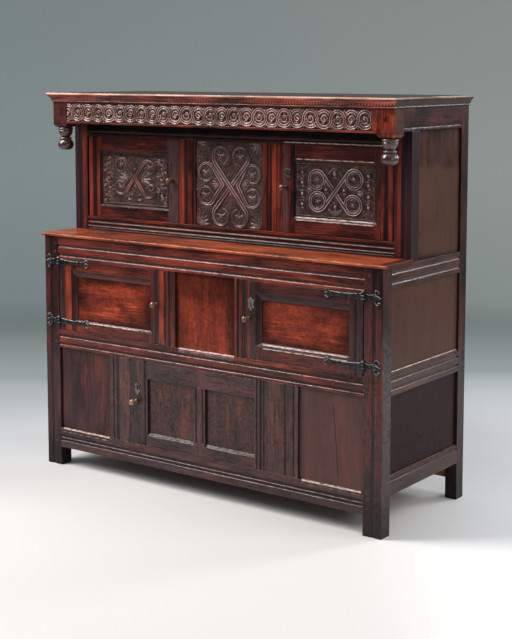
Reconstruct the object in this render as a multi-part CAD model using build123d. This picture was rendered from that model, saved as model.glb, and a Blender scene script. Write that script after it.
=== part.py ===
from build123d import *
import os

# Court cupboard of joined oak: a two-tier lower case with three doors, and a set-back
# upper case with two doors under a frieze that carries turned corner pendants.
# Frame: millimetres, +Z up, front towards -Y, origin on the floor under the middle of
# the cupboard's bounding box. Front-to-back places are FACE plus a distance into the case.

# ---- driving dimensions -------------------------------------------------------------
CASE_WIDTH = 1600.0
CASE_DEPTH = 600.0
KNOB_REACH = 35.0
SETBACK = 184.0              # upper case behind the lower case's face
CANOPY_SETBACK = 60.0        # frieze behind the lower case's face
SHELF_TOP = 958.0
FRIEZE_BOTTOM = 1400.0
TOP_UNDERSIDE = 1500.0
TOTAL_HEIGHT = 1522.0

HALF = CASE_WIDTH / 2
FACE = -(CASE_DEPTH - KNOB_REACH) / 2
BACK = FACE + CASE_DEPTH
UPPER_FACE = FACE + SETBACK
FRIEZE_FACE = FACE + CANOPY_SETBACK

# Stuff sizes
RAIL_THICK = 28.0
DOOR_THICK = 24.0
POST_WIDTH = 75.0
POST_DEPTH = 57.0
REAR_POST_WIDTH = 47.0
REAR_POST_DEPTH = 52.0
REAR_POST_FRONT = BACK - REAR_POST_DEPTH
UPPER_STILE_WIDTH = 68.0
UPPER_STILE_DEPTH = 52.0
SHELF_THICK = 12.0
SHELF_LIP = 9.5
BOARD_THICK = 14.0
POST_INNER = HALF - POST_WIDTH
STILE_INNER = HALF - UPPER_STILE_WIDTH
REAR_INNER = HALF - REAR_POST_WIDTH
SIDE_INNER = HALF - RAIL_THICK
SHELF_UNDERSIDE = SHELF_TOP - SHELF_THICK

# Heights of the rails, low and high edge
BOTTOM_RAIL = (76.0, 157.0)
MIDDLE_RAIL = (493.0, 565.0)
WAIST_RAIL = (856.0, SHELF_UNDERSIDE)
UPPER_BOTTOM_RAIL = (SHELF_TOP, 1014.0)
UPPER_TOP_RAIL = (1345.0, TOP_UNDERSIDE)
SIDE_RAILS = [(142.0, 214.0), (495.0, 580.0), (868.0, SHELF_UNDERSIDE)]
SIDE_FRIEZE_BOTTOM = 1405.0
REAR_RAILS = [BOTTOM_RAIL, MIDDLE_RAIL, (868.0, SHELF_UNDERSIDE), (1420.0, TOP_UNDERSIDE)]

# Uprights between the rails, low and high x
LOWER_MUNTINS = [(-451.0, -348.0), (320.0, 451.0)]
LOWER_JAMB = (290.0, 320.0)
MIDDLE_MUNTINS = [(-163.0, -116.0), (167.0, 202.0)]
UPPER_MUNTINS = [(-244.0, -160.0), (162.0, 226.0)]

# Hollows down the faces of those uprights
LOWER_MUNTIN_HOLLOWS = [[(-436, -428), (-419, -401)], [(388, 404), (428, 436)]]
MIDDLE_MUNTIN_HOLLOWS = [[(-150, -138)], [(178, 190)]]
UPPER_MUNTIN_HOLLOWS = [[(-218, -197), (-179, -169)], [(178, 191), (192, 204)]]

# Joinery
TENON_SETBACK = 9.0
TENON_THICK = 9.0
TENON_SHOULDER = 12.0
TENON_LENGTH = 40.0
REAR_TENON = 28.0
MUNTIN_TENON = 28.0
PANEL_RECESS = 9.0
PANEL_EDGE = 7.0
PANEL_BACK = 5.0
PANEL_BEVEL = 26.0
TONGUE = 8.0
GROOVE_GAP = 1.0
CARVED_RECESS = 5.0
PEG_SIZE = 9.0
PEG_LENGTH = 26.0
PEG_SIDES = 8

# Scratch mouldings
HOLLOW_DEPTH = 3.0
CHAMFER_STOP = 8.0
BOTTOM_CHAMFER = (16.0, 7.0)     # height and depth under the lower fixed panels
CENTRE_CHAMFER = (22.0, 9.0)     # under the middle panel
DOOR_CHAMFER = (12.0, 7.0)       # under the panels of the lower door
MOULD_STEP = 2.0                 # quirk round a door's sunk moulding, and lip beside its panel

# Pin hinges
PIN_RADIUS = 4.0
PIN_HOLE = 4.05
PIN_GRIP = 18.0

# Strap hinges
STRAP_THICK = 3.0
STRAP_REACH = 160.0
LEAF_REACH = 70.0
KNUCKLE_RADIUS = 6.0
KNUCKLE_HEIGHT = 34.0
KNUCKLE_GAP = 0.4
HINGE_PIN_RADIUS = 2.5
HINGE_BORE = 2.55
HINGE_HEIGHTS = (602.0, 844.0)
STRAP_AXIS_X = 722.5

# Knobs, locks and catch
SHANK_RADIUS = 5.0
SHANK_HOLE = 5.05
LOCK_WIDTH = 48.0
LOCK_HEIGHT = 70.0
LOCK_DEPTH = 18.0
LOCK_INSET = 4.0
LOCK_WALL = 2.0
BOLT_LENGTH = 40.0
BOLT_HEIGHT = 14.0
BOLT_THICK = 6.0
BOLT_BACK = 5.0              # behind the front of the lock case
BOLT_RISE = 18.0             # above the keyhole
BOLT_GAP = 0.3
PLATE_THICK = 2.0
STOP_HEIGHT = 30.0
STOP_LAP = 9.0
STOP_HOLD = 22.0

CORNER_BLOCK_WIDTH = 70.0
CORNER_BLOCK_DEPTH = 66.0
CORNER_BLOCK_BOTTOM = 1382.0
CORNER_BLOCK_ROUND = 18.0
SPIGOT_RADIUS = 11.0
SPIGOT_LENGTH = 26.0
PENDANT_BOTTOM = 1291.0
CORNICE_OUT = 21.0
CORNICE_BOTTOM = 1486.0
FRIEZE_BAND = (-727.0, 712.0, 1408.0, 1480.0)
FRIEZE_SUNK = 5.0


# ---- sticks, boards and joints ------------------------------------------------------
def block(x0, x1, y0, y1, z0, z1):
    """A squared piece between two opposite corners."""
    middle = Pos((x0 + x1) / 2, (y0 + y1) / 2, (z0 + z1) / 2)
    return middle * Box(x1 - x0, y1 - y0, z1 - z0)


def section(width, depth, hollows=(), bevel=(0.0, 0.0)):
    """Outline of a stick. Its face lies along u, round hollows are sunk in the face, and
    the arris at the far end of u may be bevelled by (along u, into the wood)."""
    edges = []
    reach = 0.0
    for low, high in hollows:
        edges.append(Line((reach, 0), (low, 0)))
        edges.append(ThreePointArc((low, 0), ((low + high) / 2, HOLLOW_DEPTH), (high, 0)))
        reach = high
    edges.append(Line((reach, 0), (width - bevel[0], 0)))
    if bevel[0]:
        edges.append(Line((width - bevel[0], 0), (width, bevel[1])))
    edges.append(Polyline((width, bevel[1]), (width, depth), (0, depth), (0, 0)))
    return make_face(edges)


def front_stick(x0, x1, z0, z1, face, depth, hollows=(), bevel=(0.0, 0.0)):
    """A rail along x whose moulded face looks to the front. Hollows are heights."""
    bands = [(low - z0, high - z0) for low, high in hollows]
    plane = Plane(origin=(x0, face, z0), x_dir=(0, 0, 1), z_dir=(-1, 0, 0))
    return extrude(plane * section(z1 - z0, depth, bands, bevel), amount=x1 - x0, dir=(1, 0, 0))


def upright(x0, x1, z0, z1, face, depth, hollows=()):
    """A post or muntin along z whose moulded face looks to the front."""
    bands = [(low - x0, high - x0) for low, high in hollows]
    plane = Plane(origin=(x0, face, z0), x_dir=(1, 0, 0), z_dir=(0, 0, 1))
    return extrude(plane * section(x1 - x0, depth, bands), amount=z1 - z0, dir=(0, 0, 1))


def side_stick(y0, y1, z0, z1, hollows=(), bevel=(0.0, 0.0)):
    """A rail along y in the right-hand side, its moulded face outwards."""
    bands = [(low - z0, high - z0) for low, high in hollows]
    plane = Plane(origin=(HALF, y0, z0), x_dir=(0, 0, 1), z_dir=(0, -1, 0))
    outline = section(z1 - z0, RAIL_THICK, bands, bevel)
    return extrude(plane * outline, amount=y1 - y0, dir=(0, 1, 0))


def tenons_along_x(x0, x1, z0, z1, face, length=TENON_LENGTH):
    """The two tenons beyond the ends of a rail."""
    y0 = face + TENON_SETBACK
    y1 = y0 + TENON_THICK
    low = z0 + TENON_SHOULDER
    high = z1 - TENON_SHOULDER
    left = block(x0 - length, x0, y0, y1, low, high)
    right = block(x1, x1 + length, y0, y1, low, high)
    return [left, right]


def tenons_along_y(y0, y1, z0, z1, length=TENON_LENGTH - 4):
    """The two tenons beyond the ends of a rail in the right-hand side."""
    x1 = HALF - TENON_SETBACK
    x0 = x1 - TENON_THICK
    low = z0 + TENON_SHOULDER
    high = z1 - TENON_SHOULDER
    front = block(x0, x1, y0 - length, y0, low, high)
    rear = block(x0, x1, y1, y1 + length, low, high)
    return [front, rear]


def tenons_along_z(x0, x1, z0, z1, face):
    """The two tenons at the foot and head of a muntin."""
    shoulder = min(TENON_SHOULDER, (x1 - x0) / 5)
    y0 = face + TENON_SETBACK
    y1 = y0 + TENON_THICK
    foot = block(x0 + shoulder, x1 - shoulder, y0, y1, z0 - MUNTIN_TENON, z0)
    head = block(x0 + shoulder, x1 - shoulder, y0, y1, z1, z1 + MUNTIN_TENON)
    return [foot, head]


def rect_face(x0, x1, z0, z1, y):
    """An upright rectangle that looks along y."""
    plane = Plane(origin=((x0 + x1) / 2, y, (z0 + z1) / 2), x_dir=(1, 0, 0), z_dir=(0, -1, 0))
    return plane * Rectangle(x1 - x0, z1 - z0)


def front_panel(x0, x1, z0, z1, face, recess=PANEL_RECESS):
    """A panel for an opening of that size: thin tongues all round, feathered at the back."""
    y0 = face + recess
    y1 = y0 + PANEL_EDGE
    tongue = block(x0 - TONGUE, x1 + TONGUE, y0, y1, z0 - TONGUE, z1 + TONGUE)
    wide = rect_face(x0 - 1, x1 + 1, z0 - 1, z1 + 1, y1)
    narrow = rect_face(x0 + PANEL_BEVEL, x1 - PANEL_BEVEL, z0 + PANEL_BEVEL, z1 - PANEL_BEVEL,
                       y1 + PANEL_BACK)
    return tongue + loft([wide, narrow])


def front_groove(x0, x1, z0, z1, face, recess=PANEL_RECESS):
    """The space that a panel's tongues take in the sticks round its opening."""
    y0 = face + recess
    gap = TONGUE + GROOVE_GAP
    return block(x0 - gap, x1 + gap, y0, y0 + PANEL_EDGE + GROOVE_GAP, z0 - TONGUE, z1 + gap)


def side_panel(y0, y1, z0, z1):
    """A panel of the right-hand side, feathered at the back."""
    x1 = HALF - PANEL_RECESS
    x0 = x1 - PANEL_EDGE
    tongue = block(x0, x1, y0 - TONGUE, y1 + TONGUE, z0 - TONGUE, z1 + TONGUE)
    faces = []
    for x, grow in ((x0, 1.0), (x0 - PANEL_BACK, -PANEL_BEVEL)):
        plane = Plane(origin=(x, (y0 + y1) / 2, (z0 + z1) / 2), x_dir=(0, 1, 0), z_dir=(1, 0, 0))
        faces.append(plane * Rectangle(y1 - y0 + 2 * grow, z1 - z0 + 2 * grow))
    return tongue + loft(faces)


def side_groove(y0, y1, z0, z1):
    """The space that a side panel's tongues take in the sticks round it."""
    x1 = HALF - PANEL_RECESS
    gap = TONGUE + GROOVE_GAP
    return block(x1 - PANEL_EDGE - GROOVE_GAP, x1, y0 - gap, y1 + gap, z0 - TONGUE, z1 + gap)


def chamfer_wedge(x, z, face, height, depth):
    """Cross-section at x of the wood taken off a rail's top arris."""
    plane = Plane(origin=(x, face, z), x_dir=(0, 1, 0), z_dir=(1, 0, 0))
    outline = Polyline((-1, 1), (depth, 1), (depth, 0), (0, -height), (-1, -height), (-1, 1))
    return plane * make_face(outline)


def stopped_chamfer(x0, x1, z, face, size):
    """The wood taken off a rail's top arris between two run-out stops."""
    height, depth = size
    shapes = []
    for x, share in ((x0, 0.02), (x0 + CHAMFER_STOP, 1.0), (x1 - CHAMFER_STOP, 1.0), (x1, 0.02)):
        shapes.append(chamfer_wedge(x, z, face, height * share, depth * share))
    return loft(shapes, ruled=True)


def trough(x0, x1, z0, z1, face):
    """The wood taken out of a face for one shallow round hollow that runs upright."""
    plane = Plane(origin=(0, face, z0), x_dir=(1, 0, 0), z_dir=(0, 0, 1))
    hollow = ThreePointArc((x0, 0), ((x0 + x1) / 2, HOLLOW_DEPTH), (x1, 0))
    outline = [hollow, Polyline((x1, 0), (x1, -1), (x0, -1), (x0, 0))]
    return extrude(plane * make_face(outline), amount=z1 - z0, dir=(0, 0, 1))


def pegs_in(tenon, face, side=False):
    """Two faceted pegs through a tenon, driven in from the face."""
    box = tenon.bounding_box()
    pegs = []
    for share in (0.22, 0.78):
        z = box.min.Z + share * (box.max.Z - box.min.Z)
        if side:
            y = (box.min.Y + box.max.Y) / 2
            plane = Plane(origin=(face, y, z), x_dir=(0, 1, 0), z_dir=(-1, 0, 0))
        else:
            x = (box.min.X + box.max.X) / 2
            plane = Plane(origin=(x, face, z), x_dir=(1, 0, 0), z_dir=(0, 1, 0))
        outline = plane * RegularPolygon(PEG_SIZE / 2, PEG_SIDES, major_radius=False)
        pegs.append(extrude(outline, amount=PEG_LENGTH))
    return pegs


def both_sides(pieces):
    """The right-hand pieces together with their mirror images on the left."""
    return list(pieces) + [mirror(piece, about=Plane.YZ) for piece in pieces]


def save(node, pieces):
    """Write one node from its solids."""
    solids = [solid for piece in pieces for solid in piece.solids()]
    shape = solids[0] if len(solids) == 1 else Compound(solids)
    export_step(shape, os.path.join("parts", node + ".step"))


# ---- openings and what fills them ---------------------------------------------------
LOWER_PANELS = [(-POST_INNER, LOWER_MUNTINS[0][0]), (LOWER_MUNTINS[1][1], POST_INNER)]
MIDDLE_PANEL = (MIDDLE_MUNTINS[0][1], MIDDLE_MUNTINS[1][0])
UPPER_PANEL = (UPPER_MUNTINS[0][1], UPPER_MUNTINS[1][0])
SIDE_SPAN = (FACE + POST_DEPTH, REAR_POST_FRONT)
UPPER_SIDE_SPAN = (UPPER_FACE + UPPER_STILE_DEPTH, REAR_POST_FRONT)
CORNER_BLOCK_BACK = FRIEZE_FACE + CORNER_BLOCK_DEPTH
LOWER_ROW = (BOTTOM_RAIL[1], MIDDLE_RAIL[0])
MIDDLE_ROW = (MIDDLE_RAIL[1], WAIST_RAIL[0])
UPPER_ROW = (UPPER_BOTTOM_RAIL[1], UPPER_TOP_RAIL[0])

FRONT_GROOVES = [front_groove(x0, x1, *LOWER_ROW, FACE) for x0, x1 in LOWER_PANELS]
FRONT_GROOVES.append(front_groove(*MIDDLE_PANEL, *MIDDLE_ROW, FACE))
UPPER_GROOVE = front_groove(*UPPER_PANEL, *UPPER_ROW, UPPER_FACE, CARVED_RECESS)
SIDE_OPENINGS = [
    (*SIDE_SPAN, SIDE_RAILS[0][1], SIDE_RAILS[1][0]),
    (*SIDE_SPAN, SIDE_RAILS[1][1], SIDE_RAILS[2][0]),
    (*UPPER_SIDE_SPAN, SHELF_UNDERSIDE, SIDE_FRIEZE_BOTTOM),
]
SIDE_GROOVES = [side_groove(*opening) for opening in SIDE_OPENINGS]

FRONT_RAIL_TENONS = []
for rail in (BOTTOM_RAIL, MIDDLE_RAIL, WAIST_RAIL):
    FRONT_RAIL_TENONS += tenons_along_x(-POST_INNER, POST_INNER, *rail, FACE)
UPPER_RAIL_TENONS = []
for rail in (UPPER_BOTTOM_RAIL, UPPER_TOP_RAIL):
    UPPER_RAIL_TENONS += tenons_along_x(-STILE_INNER, STILE_INNER, *rail, UPPER_FACE)
SIDE_RAIL_TENONS = []
for rail in SIDE_RAILS:
    SIDE_RAIL_TENONS += tenons_along_y(*SIDE_SPAN, *rail)
SIDE_FRIEZE_TENONS = tenons_along_y(CORNER_BLOCK_BACK, REAR_POST_FRONT, SIDE_FRIEZE_BOTTOM,
                                    TOP_UNDERSIDE)
REAR_FACE = REAR_POST_FRONT + 14.0
REAR_TENONS = []
for rail in REAR_RAILS:
    REAR_TENONS += tenons_along_x(-REAR_INNER, REAR_INNER, *rail, REAR_FACE, REAR_TENON)
FRIEZE_TENONS = tenons_along_x(-(HALF - CORNER_BLOCK_WIDTH), HALF - CORNER_BLOCK_WIDTH,
                               FRIEZE_BOTTOM, TOP_UNDERSIDE, FRIEZE_FACE, 30.0)
STILE_FOOT = block(SIDE_INNER + 6, HALF - 9, UPPER_FACE + 10, UPPER_FACE + 42,
                   SHELF_UNDERSIDE - 30, SHELF_UNDERSIDE)

FRONT_PEGS = [peg for tenon in FRONT_RAIL_TENONS for peg in pegs_in(tenon, FACE)]
UPPER_PEGS = [peg for tenon in UPPER_RAIL_TENONS for peg in pegs_in(tenon, UPPER_FACE)]
SIDE_PEGS = [peg for tenon in SIDE_RAIL_TENONS for peg in pegs_in(tenon, HALF, side=True)]


# ---- carcase ------------------------------------------------------------------------
def front_posts():
    """Right and left front posts, with a scratched channel up the face of each."""
    post = upright(POST_INNER, HALF, 0, SHELF_UNDERSIDE, FACE, POST_DEPTH,
                   [(POST_INNER + 31, POST_INNER + 51)])
    right_tenons = [tenon for tenon in FRONT_RAIL_TENONS if tenon.center().X > 0]
    right_pegs = [peg for peg in FRONT_PEGS if peg.center().X > 0]
    post -= right_tenons + SIDE_RAIL_TENONS + right_pegs + SIDE_PEGS
    left = mirror(post, about=Plane.YZ)
    post -= FRONT_GROOVES + SIDE_GROOVES
    left -= FRONT_GROOVES + [mirror(groove, about=Plane.YZ) for groove in SIDE_GROOVES]
    return post, left


def rear_posts():
    """Rear posts, in one length from the floor to the top boards."""
    post = block(REAR_INNER, HALF, REAR_POST_FRONT, BACK, 0, TOP_UNDERSIDE)
    right_tenons = [tenon for tenon in REAR_TENONS if tenon.center().X > 0]
    post -= right_tenons + SIDE_RAIL_TENONS + SIDE_FRIEZE_TENONS + SIDE_GROOVES + SIDE_PEGS
    return post, mirror(post, about=Plane.YZ)


def pin_holes(door_x, face, z_low, z_high):
    """Holes for a door's two pivots, through the rails and the ends of the stile."""
    y = face + DOOR_THICK / 2
    holes = []
    for z in (z_low, z_high):
        holes.append(Pos(door_x, y, z) * Cylinder(PIN_HOLE, 2 * PIN_GRIP + 4))
    return holes


def bottom_rail():
    """Bottom front rail: two hollows, a stopped chamfer under each fixed panel."""
    z0, z1 = BOTTOM_RAIL
    rail = front_stick(-POST_INNER, POST_INNER, z0, z1, FACE, RAIL_THICK,
                       [(102, 115), (116, 130)])
    for x0, x1 in LOWER_PANELS:
        rail -= stopped_chamfer(x0 + 4, x1 - 4, z1, FACE, BOTTOM_CHAMFER)
    rail -= floor_rebate(z1)
    rail += [tenon for tenon in FRONT_RAIL_TENONS if z0 < tenon.center().Z < z1]
    return rail - FRONT_GROOVES - LOWER_UPRIGHT_TENONS - FRONT_PEGS - LOWER_PIVOTS


def middle_rail():
    """Middle front rail between the two rows of the lower case."""
    z0, z1 = MIDDLE_RAIL
    rail = front_stick(-POST_INNER, POST_INNER, z0, z1, FACE, RAIL_THICK,
                       [(502, 515), (534, 549)])
    rail -= stopped_chamfer(MIDDLE_PANEL[0] + 2, MIDDLE_PANEL[1] - 2, z1, FACE, CENTRE_CHAMFER)
    rail -= floor_rebate(z1)
    rail += [tenon for tenon in FRONT_RAIL_TENONS if z0 < tenon.center().Z < z1]
    rail -= FRONT_GROOVES + LOWER_UPRIGHT_TENONS + MIDDLE_UPRIGHT_TENONS
    return rail - FRONT_PEGS - LOWER_PIVOTS


def waist_rail():
    """Top front rail of the lower case, under the shelf."""
    z0, z1 = WAIST_RAIL
    rail = front_stick(-POST_INNER, POST_INNER, z0, z1, FACE, RAIL_THICK,
                       [(865, 880), (902, 916)])
    rail += [tenon for tenon in FRONT_RAIL_TENONS if z0 < tenon.center().Z < z1]
    return rail - FRONT_GROOVES - MIDDLE_UPRIGHT_TENONS - FRONT_PEGS


def floor_rebate(z):
    """The step at the back of a rail in which the floor boards lie."""
    return block(-POST_INNER, POST_INNER, FACE + RAIL_THICK - 9, FACE + RAIL_THICK,
                 z - BOARD_THICK - 3, z + 1)


LOWER_UPRIGHTS = LOWER_MUNTINS + [LOWER_JAMB]
LOWER_UPRIGHT_TENONS = []
for x0, x1 in LOWER_UPRIGHTS:
    LOWER_UPRIGHT_TENONS += tenons_along_z(x0, x1, *LOWER_ROW, FACE)
MIDDLE_UPRIGHT_TENONS = []
for x0, x1 in MIDDLE_MUNTINS:
    MIDDLE_UPRIGHT_TENONS += tenons_along_z(x0, x1, *MIDDLE_ROW, FACE)
UPPER_UPRIGHT_TENONS = []
for x0, x1 in UPPER_MUNTINS:
    UPPER_UPRIGHT_TENONS += tenons_along_z(x0, x1, *UPPER_ROW, UPPER_FACE)


def muntin(span, row, face, hollows):
    """One upright between two rails, with its tenons and panel grooves."""
    stick = upright(*span, *row, face, RAIL_THICK, hollows)
    stick += tenons_along_z(*span, *row, face)
    return stick - FRONT_GROOVES - UPPER_GROOVE


def side_rails():
    """The three rails of each side of the lower case."""
    bands = [[(190, 203)], [(512, 525), (544, 557)], [(884, 897), (918, 931)]]
    bevels = [(10.0, 5.0), (14.0, 6.0), (0.0, 0.0)]
    rails = []
    for (z0, z1), hollows, bevel in zip(SIDE_RAILS, bands, bevels):
        rail = side_stick(*SIDE_SPAN, z0, z1, hollows, bevel)
        rail += tenons_along_y(*SIDE_SPAN, z0, z1)
        rails.append(rail - SIDE_GROOVES - SIDE_PEGS - STILE_FOOT)
    return both_sides(rails)


def rear_rails():
    """Four plain rails between the rear posts."""
    rails = []
    for z0, z1 in REAR_RAILS:
        rail = block(-REAR_INNER, REAR_INNER, REAR_FACE, REAR_FACE + RAIL_THICK, z0, z1)
        rail += tenons_along_x(-REAR_INNER, REAR_INNER, z0, z1, REAR_FACE, REAR_TENON)
        if z0 in (BOTTOM_RAIL[0], MIDDLE_RAIL[0]):
            rail -= block(-REAR_INNER, REAR_INNER, REAR_FACE, REAR_FACE + 9,
                          z1 - BOARD_THICK - 3, z1 + 1)
        rails.append(rail)
    return rails


def back_boards():
    """Two tiers of upright boards behind the rear rails, with shrinkage gaps."""
    y0 = REAR_FACE + RAIL_THICK
    count = 6
    pitch = 2 * REAR_INNER / count
    boards = []
    tiers = [(BOTTOM_RAIL[0] + 6, SHELF_UNDERSIDE - 30), (SHELF_UNDERSIDE - 28, TOP_UNDERSIDE)]
    for low, high in tiers:
        for i in range(count):
            x0 = -REAR_INNER + i * pitch
            boards.append(block(x0 + 0.5, x0 + pitch - 0.5, y0, y0 + 10, low, high))
    return boards


def floor_boards():
    """The boards of both floors, front to back, notched round the posts at the ends."""
    y0 = FACE + RAIL_THICK - 9
    y1 = REAR_FACE + 9
    reach = SIDE_INNER - 1
    count = 7
    pitch = 2 * reach / count
    posts = both_sides([
        block(POST_INNER, HALF, FACE, FACE + POST_DEPTH, 0, SHELF_TOP),
        block(REAR_INNER, HALF, REAR_POST_FRONT, BACK, 0, SHELF_TOP),
    ])
    boards = []
    for top in (BOTTOM_RAIL[1] - 3, MIDDLE_RAIL[1] - 3):
        for i in range(count):
            x0 = -reach + i * pitch
            board = block(x0 + 0.5, x0 + pitch - 0.5, y0, y1, top - BOARD_THICK, top)
            boards.append(board - posts)
    return boards


def shelf_boards():
    """The moulded ledge board in front and the two floor boards inside the upper case."""
    z0, z1 = SHELF_UNDERSIDE, SHELF_TOP
    join = UPPER_FACE + RAIL_THICK
    ledge = block(-HALF - SHELF_LIP, HALF + SHELF_LIP, FACE - SHELF_LIP, UPPER_FACE, z0, z1)
    ledge = fillet(ledge.edges().filter_by(Axis.X).group_by(Axis.Y)[0], SHELF_THICK / 2 - 0.5)
    ledge += block(-STILE_INNER, STILE_INNER, UPPER_FACE, join, z0, z1)
    reach = HALF - 20.0
    middle = (join + REAR_FACE + RAIL_THICK) / 2
    corners = both_sides([
        block(STILE_INNER, HALF, UPPER_FACE, UPPER_FACE + UPPER_STILE_DEPTH, z0 - 1, z1 + 1),
        block(REAR_INNER, HALF, REAR_POST_FRONT, BACK, z0 - 1, z1 + 1),
    ])
    front = block(-reach, reach, join, middle, z0, z1) - corners
    rear = block(-reach, reach, middle, REAR_FACE + RAIL_THICK, z0, z1) - corners
    return [ledge, front, rear]


# ---- upper case and canopy ----------------------------------------------------------
def upper_stiles():
    """Front stiles of the upper case, notched at the head for the side frieze rails."""
    stile = upright(STILE_INNER, HALF, SHELF_UNDERSIDE, TOP_UNDERSIDE, UPPER_FACE,
                    UPPER_STILE_DEPTH, [(STILE_INNER + 28, STILE_INNER + 47)])
    stile -= block(SIDE_INNER, HALF + 1, UPPER_FACE - 1, UPPER_FACE + UPPER_STILE_DEPTH + 1,
                   SIDE_FRIEZE_BOTTOM, TOP_UNDERSIDE + 1)
    stile += STILE_FOOT
    right_tenons = [tenon for tenon in UPPER_RAIL_TENONS if tenon.center().X > 0]
    right_pegs = [peg for peg in UPPER_PEGS if peg.center().X > 0]
    stile -= right_tenons + right_pegs + SIDE_GROOVES
    return stile, mirror(stile, about=Plane.YZ)


def upper_rail(rail, hollows, pivots):
    """A rail of the upper case's front with its tenons."""
    stick = front_stick(-STILE_INNER, STILE_INNER, *rail, UPPER_FACE, RAIL_THICK, hollows)
    stick += [tenon for tenon in UPPER_RAIL_TENONS if rail[0] < tenon.center().Z < rail[1]]
    return stick - UPPER_GROOVE - UPPER_UPRIGHT_TENONS - UPPER_PEGS - pivots


def frieze_rail():
    """Front frieze rail with the sunk field that holds the carving."""
    reach = HALF - CORNER_BLOCK_WIDTH
    rail = front_stick(-reach, reach, FRIEZE_BOTTOM, TOP_UNDERSIDE, FRIEZE_FACE, RAIL_THICK)
    x0, x1, z0, z1 = FRIEZE_BAND
    rail -= block(x0, x1, FRIEZE_FACE - 1, FRIEZE_FACE + FRIEZE_SUNK, z0, z1)
    return rail + FRIEZE_TENONS


def frieze_side_rails():
    """Side frieze rails, from the corner blocks back to the rear posts."""
    rail = side_stick(CORNER_BLOCK_BACK, REAR_POST_FRONT, SIDE_FRIEZE_BOTTOM, TOP_UNDERSIDE,
                      [(1412, 1422)])
    rail += SIDE_FRIEZE_TENONS
    return both_sides([rail - SIDE_GROOVES])


def corner_blocks():
    """Square blocks at the frieze's corners, rounded off below towards the pendants."""
    x0 = HALF - CORNER_BLOCK_WIDTH
    body = block(x0, HALF, FRIEZE_FACE, CORNER_BLOCK_BACK, CORNER_BLOCK_BOTTOM, TOP_UNDERSIDE)
    body = fillet(body.edges().group_by(Axis.Z)[0], CORNER_BLOCK_ROUND)
    tenons = [tenon for tenon in FRIEZE_TENONS + SIDE_FRIEZE_TENONS if tenon.center().X > 0]
    body -= tenons + [pendant_spigot(0.05)]
    return both_sides([body])


def pendant_spigot(clearance=0.0):
    """The round tenon by which a pendant hangs in its block."""
    x = HALF - CORNER_BLOCK_WIDTH / 2
    y = FRIEZE_FACE + CORNER_BLOCK_DEPTH / 2
    foot = (Align.CENTER, Align.CENTER, Align.MIN)
    spigot = Cylinder(SPIGOT_RADIUS + clearance, SPIGOT_LENGTH + clearance, align=foot)
    return Pos(x, y, CORNER_BLOCK_BOTTOM) * spigot


def pendants():
    """Turned pendants: a bead, a tapering cup, a ring and a flattened ball."""
    top = CORNER_BLOCK_BOTTOM
    low = PENDANT_BOTTOM
    outline = [
        Line((0, top), (26, top)),
        ThreePointArc((26, top), (30.5, top - 5), (27, top - 11)),
        Line((27, top - 11), (29, top - 14)),
        ThreePointArc((29, top - 14), (25, top - 28), (18, top - 38)),
        Line((18, top - 38), (18, top - 41)),
        ThreePointArc((18, top - 41), (25, top - 45), (19, top - 49)),
        Line((19, top - 49), (23, top - 51)),
        ThreePointArc((23, top - 51), (32, top - 68), (18, low)),
        Line((18, low), (0, low)),
        Line((0, low), (0, top)),
    ]
    plane = Plane(origin=(0, 0, 0), x_dir=(1, 0, 0), z_dir=(0, -1, 0))
    turned = revolve(plane * make_face(outline), Axis.Z, 360)
    x = HALF - CORNER_BLOCK_WIDTH / 2
    y = FRIEZE_FACE + CORNER_BLOCK_DEPTH / 2
    return both_sides([Pos(x, y, 0) * turned + pendant_spigot()])


def cornice_section():
    """Bead, quirk, ogee and top fillet; u points out of the face, v points up."""
    z0 = CORNICE_BOTTOM
    edges = [
        Line((0, z0), (3, z0)),
        ThreePointArc((3, z0), (6, z0 + 3), (3, z0 + 6)),
        Line((3, z0 + 6), (6, z0 + 8)),
        ThreePointArc((6, z0 + 8), (10, z0 + 17), (CORNICE_OUT - 3, z0 + 26)),
        Line((CORNICE_OUT - 3, z0 + 26), (CORNICE_OUT, z0 + 28)),
        Polyline((CORNICE_OUT, z0 + 28), (CORNICE_OUT, TOTAL_HEIGHT), (0, TOTAL_HEIGHT), (0, z0)),
    ]
    return make_face(edges)


def cornice_moulding():
    """Front length and two side lengths of the cornice, mitred at the corners."""
    reach = HALF + CORNICE_OUT
    front_plane = Plane(origin=(-reach, FRIEZE_FACE, 0), x_dir=(0, -1, 0), z_dir=(-1, 0, 0))
    front = extrude(front_plane * cornice_section(), amount=2 * reach, dir=(1, 0, 0))
    start = FRIEZE_FACE - CORNICE_OUT
    side_plane = Plane(origin=(HALF, start, 0), x_dir=(1, 0, 0), z_dir=(0, -1, 0))
    side = extrude(side_plane * cornice_section(), amount=BACK - start, dir=(0, 1, 0))
    mitre = Plane(origin=(HALF, FRIEZE_FACE, 0), x_dir=(0, 0, 1), z_dir=(1, 1, 0))
    left_mitre = Plane(origin=(-HALF, FRIEZE_FACE, 0), x_dir=(0, 0, 1), z_dir=(-1, 1, 0))
    front = split(front, bisect_by=mitre, keep=Keep.BOTTOM)
    front = split(front, bisect_by=left_mitre, keep=Keep.BOTTOM)
    side = split(side, bisect_by=mitre, keep=Keep.TOP)
    return [front] + both_sides([side])


def top_boards():
    """Three long boards that close the top inside the cornice."""
    depth = (BACK - FRIEZE_FACE) / 3
    boards = []
    for i in range(3):
        y0 = FRIEZE_FACE + i * depth
        boards.append(block(-HALF, HALF, y0, y0 + depth, TOP_UNDERSIDE, TOTAL_HEIGHT))
    return boards


# ---- doors --------------------------------------------------------------------------
DOOR_GAP = 2.5               # at the free edge
STRAP_DOOR_GAP = 5.0         # at the edge that hangs on strap hinges
DOOR_LIFT = 2.0              # above and below each door


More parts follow.
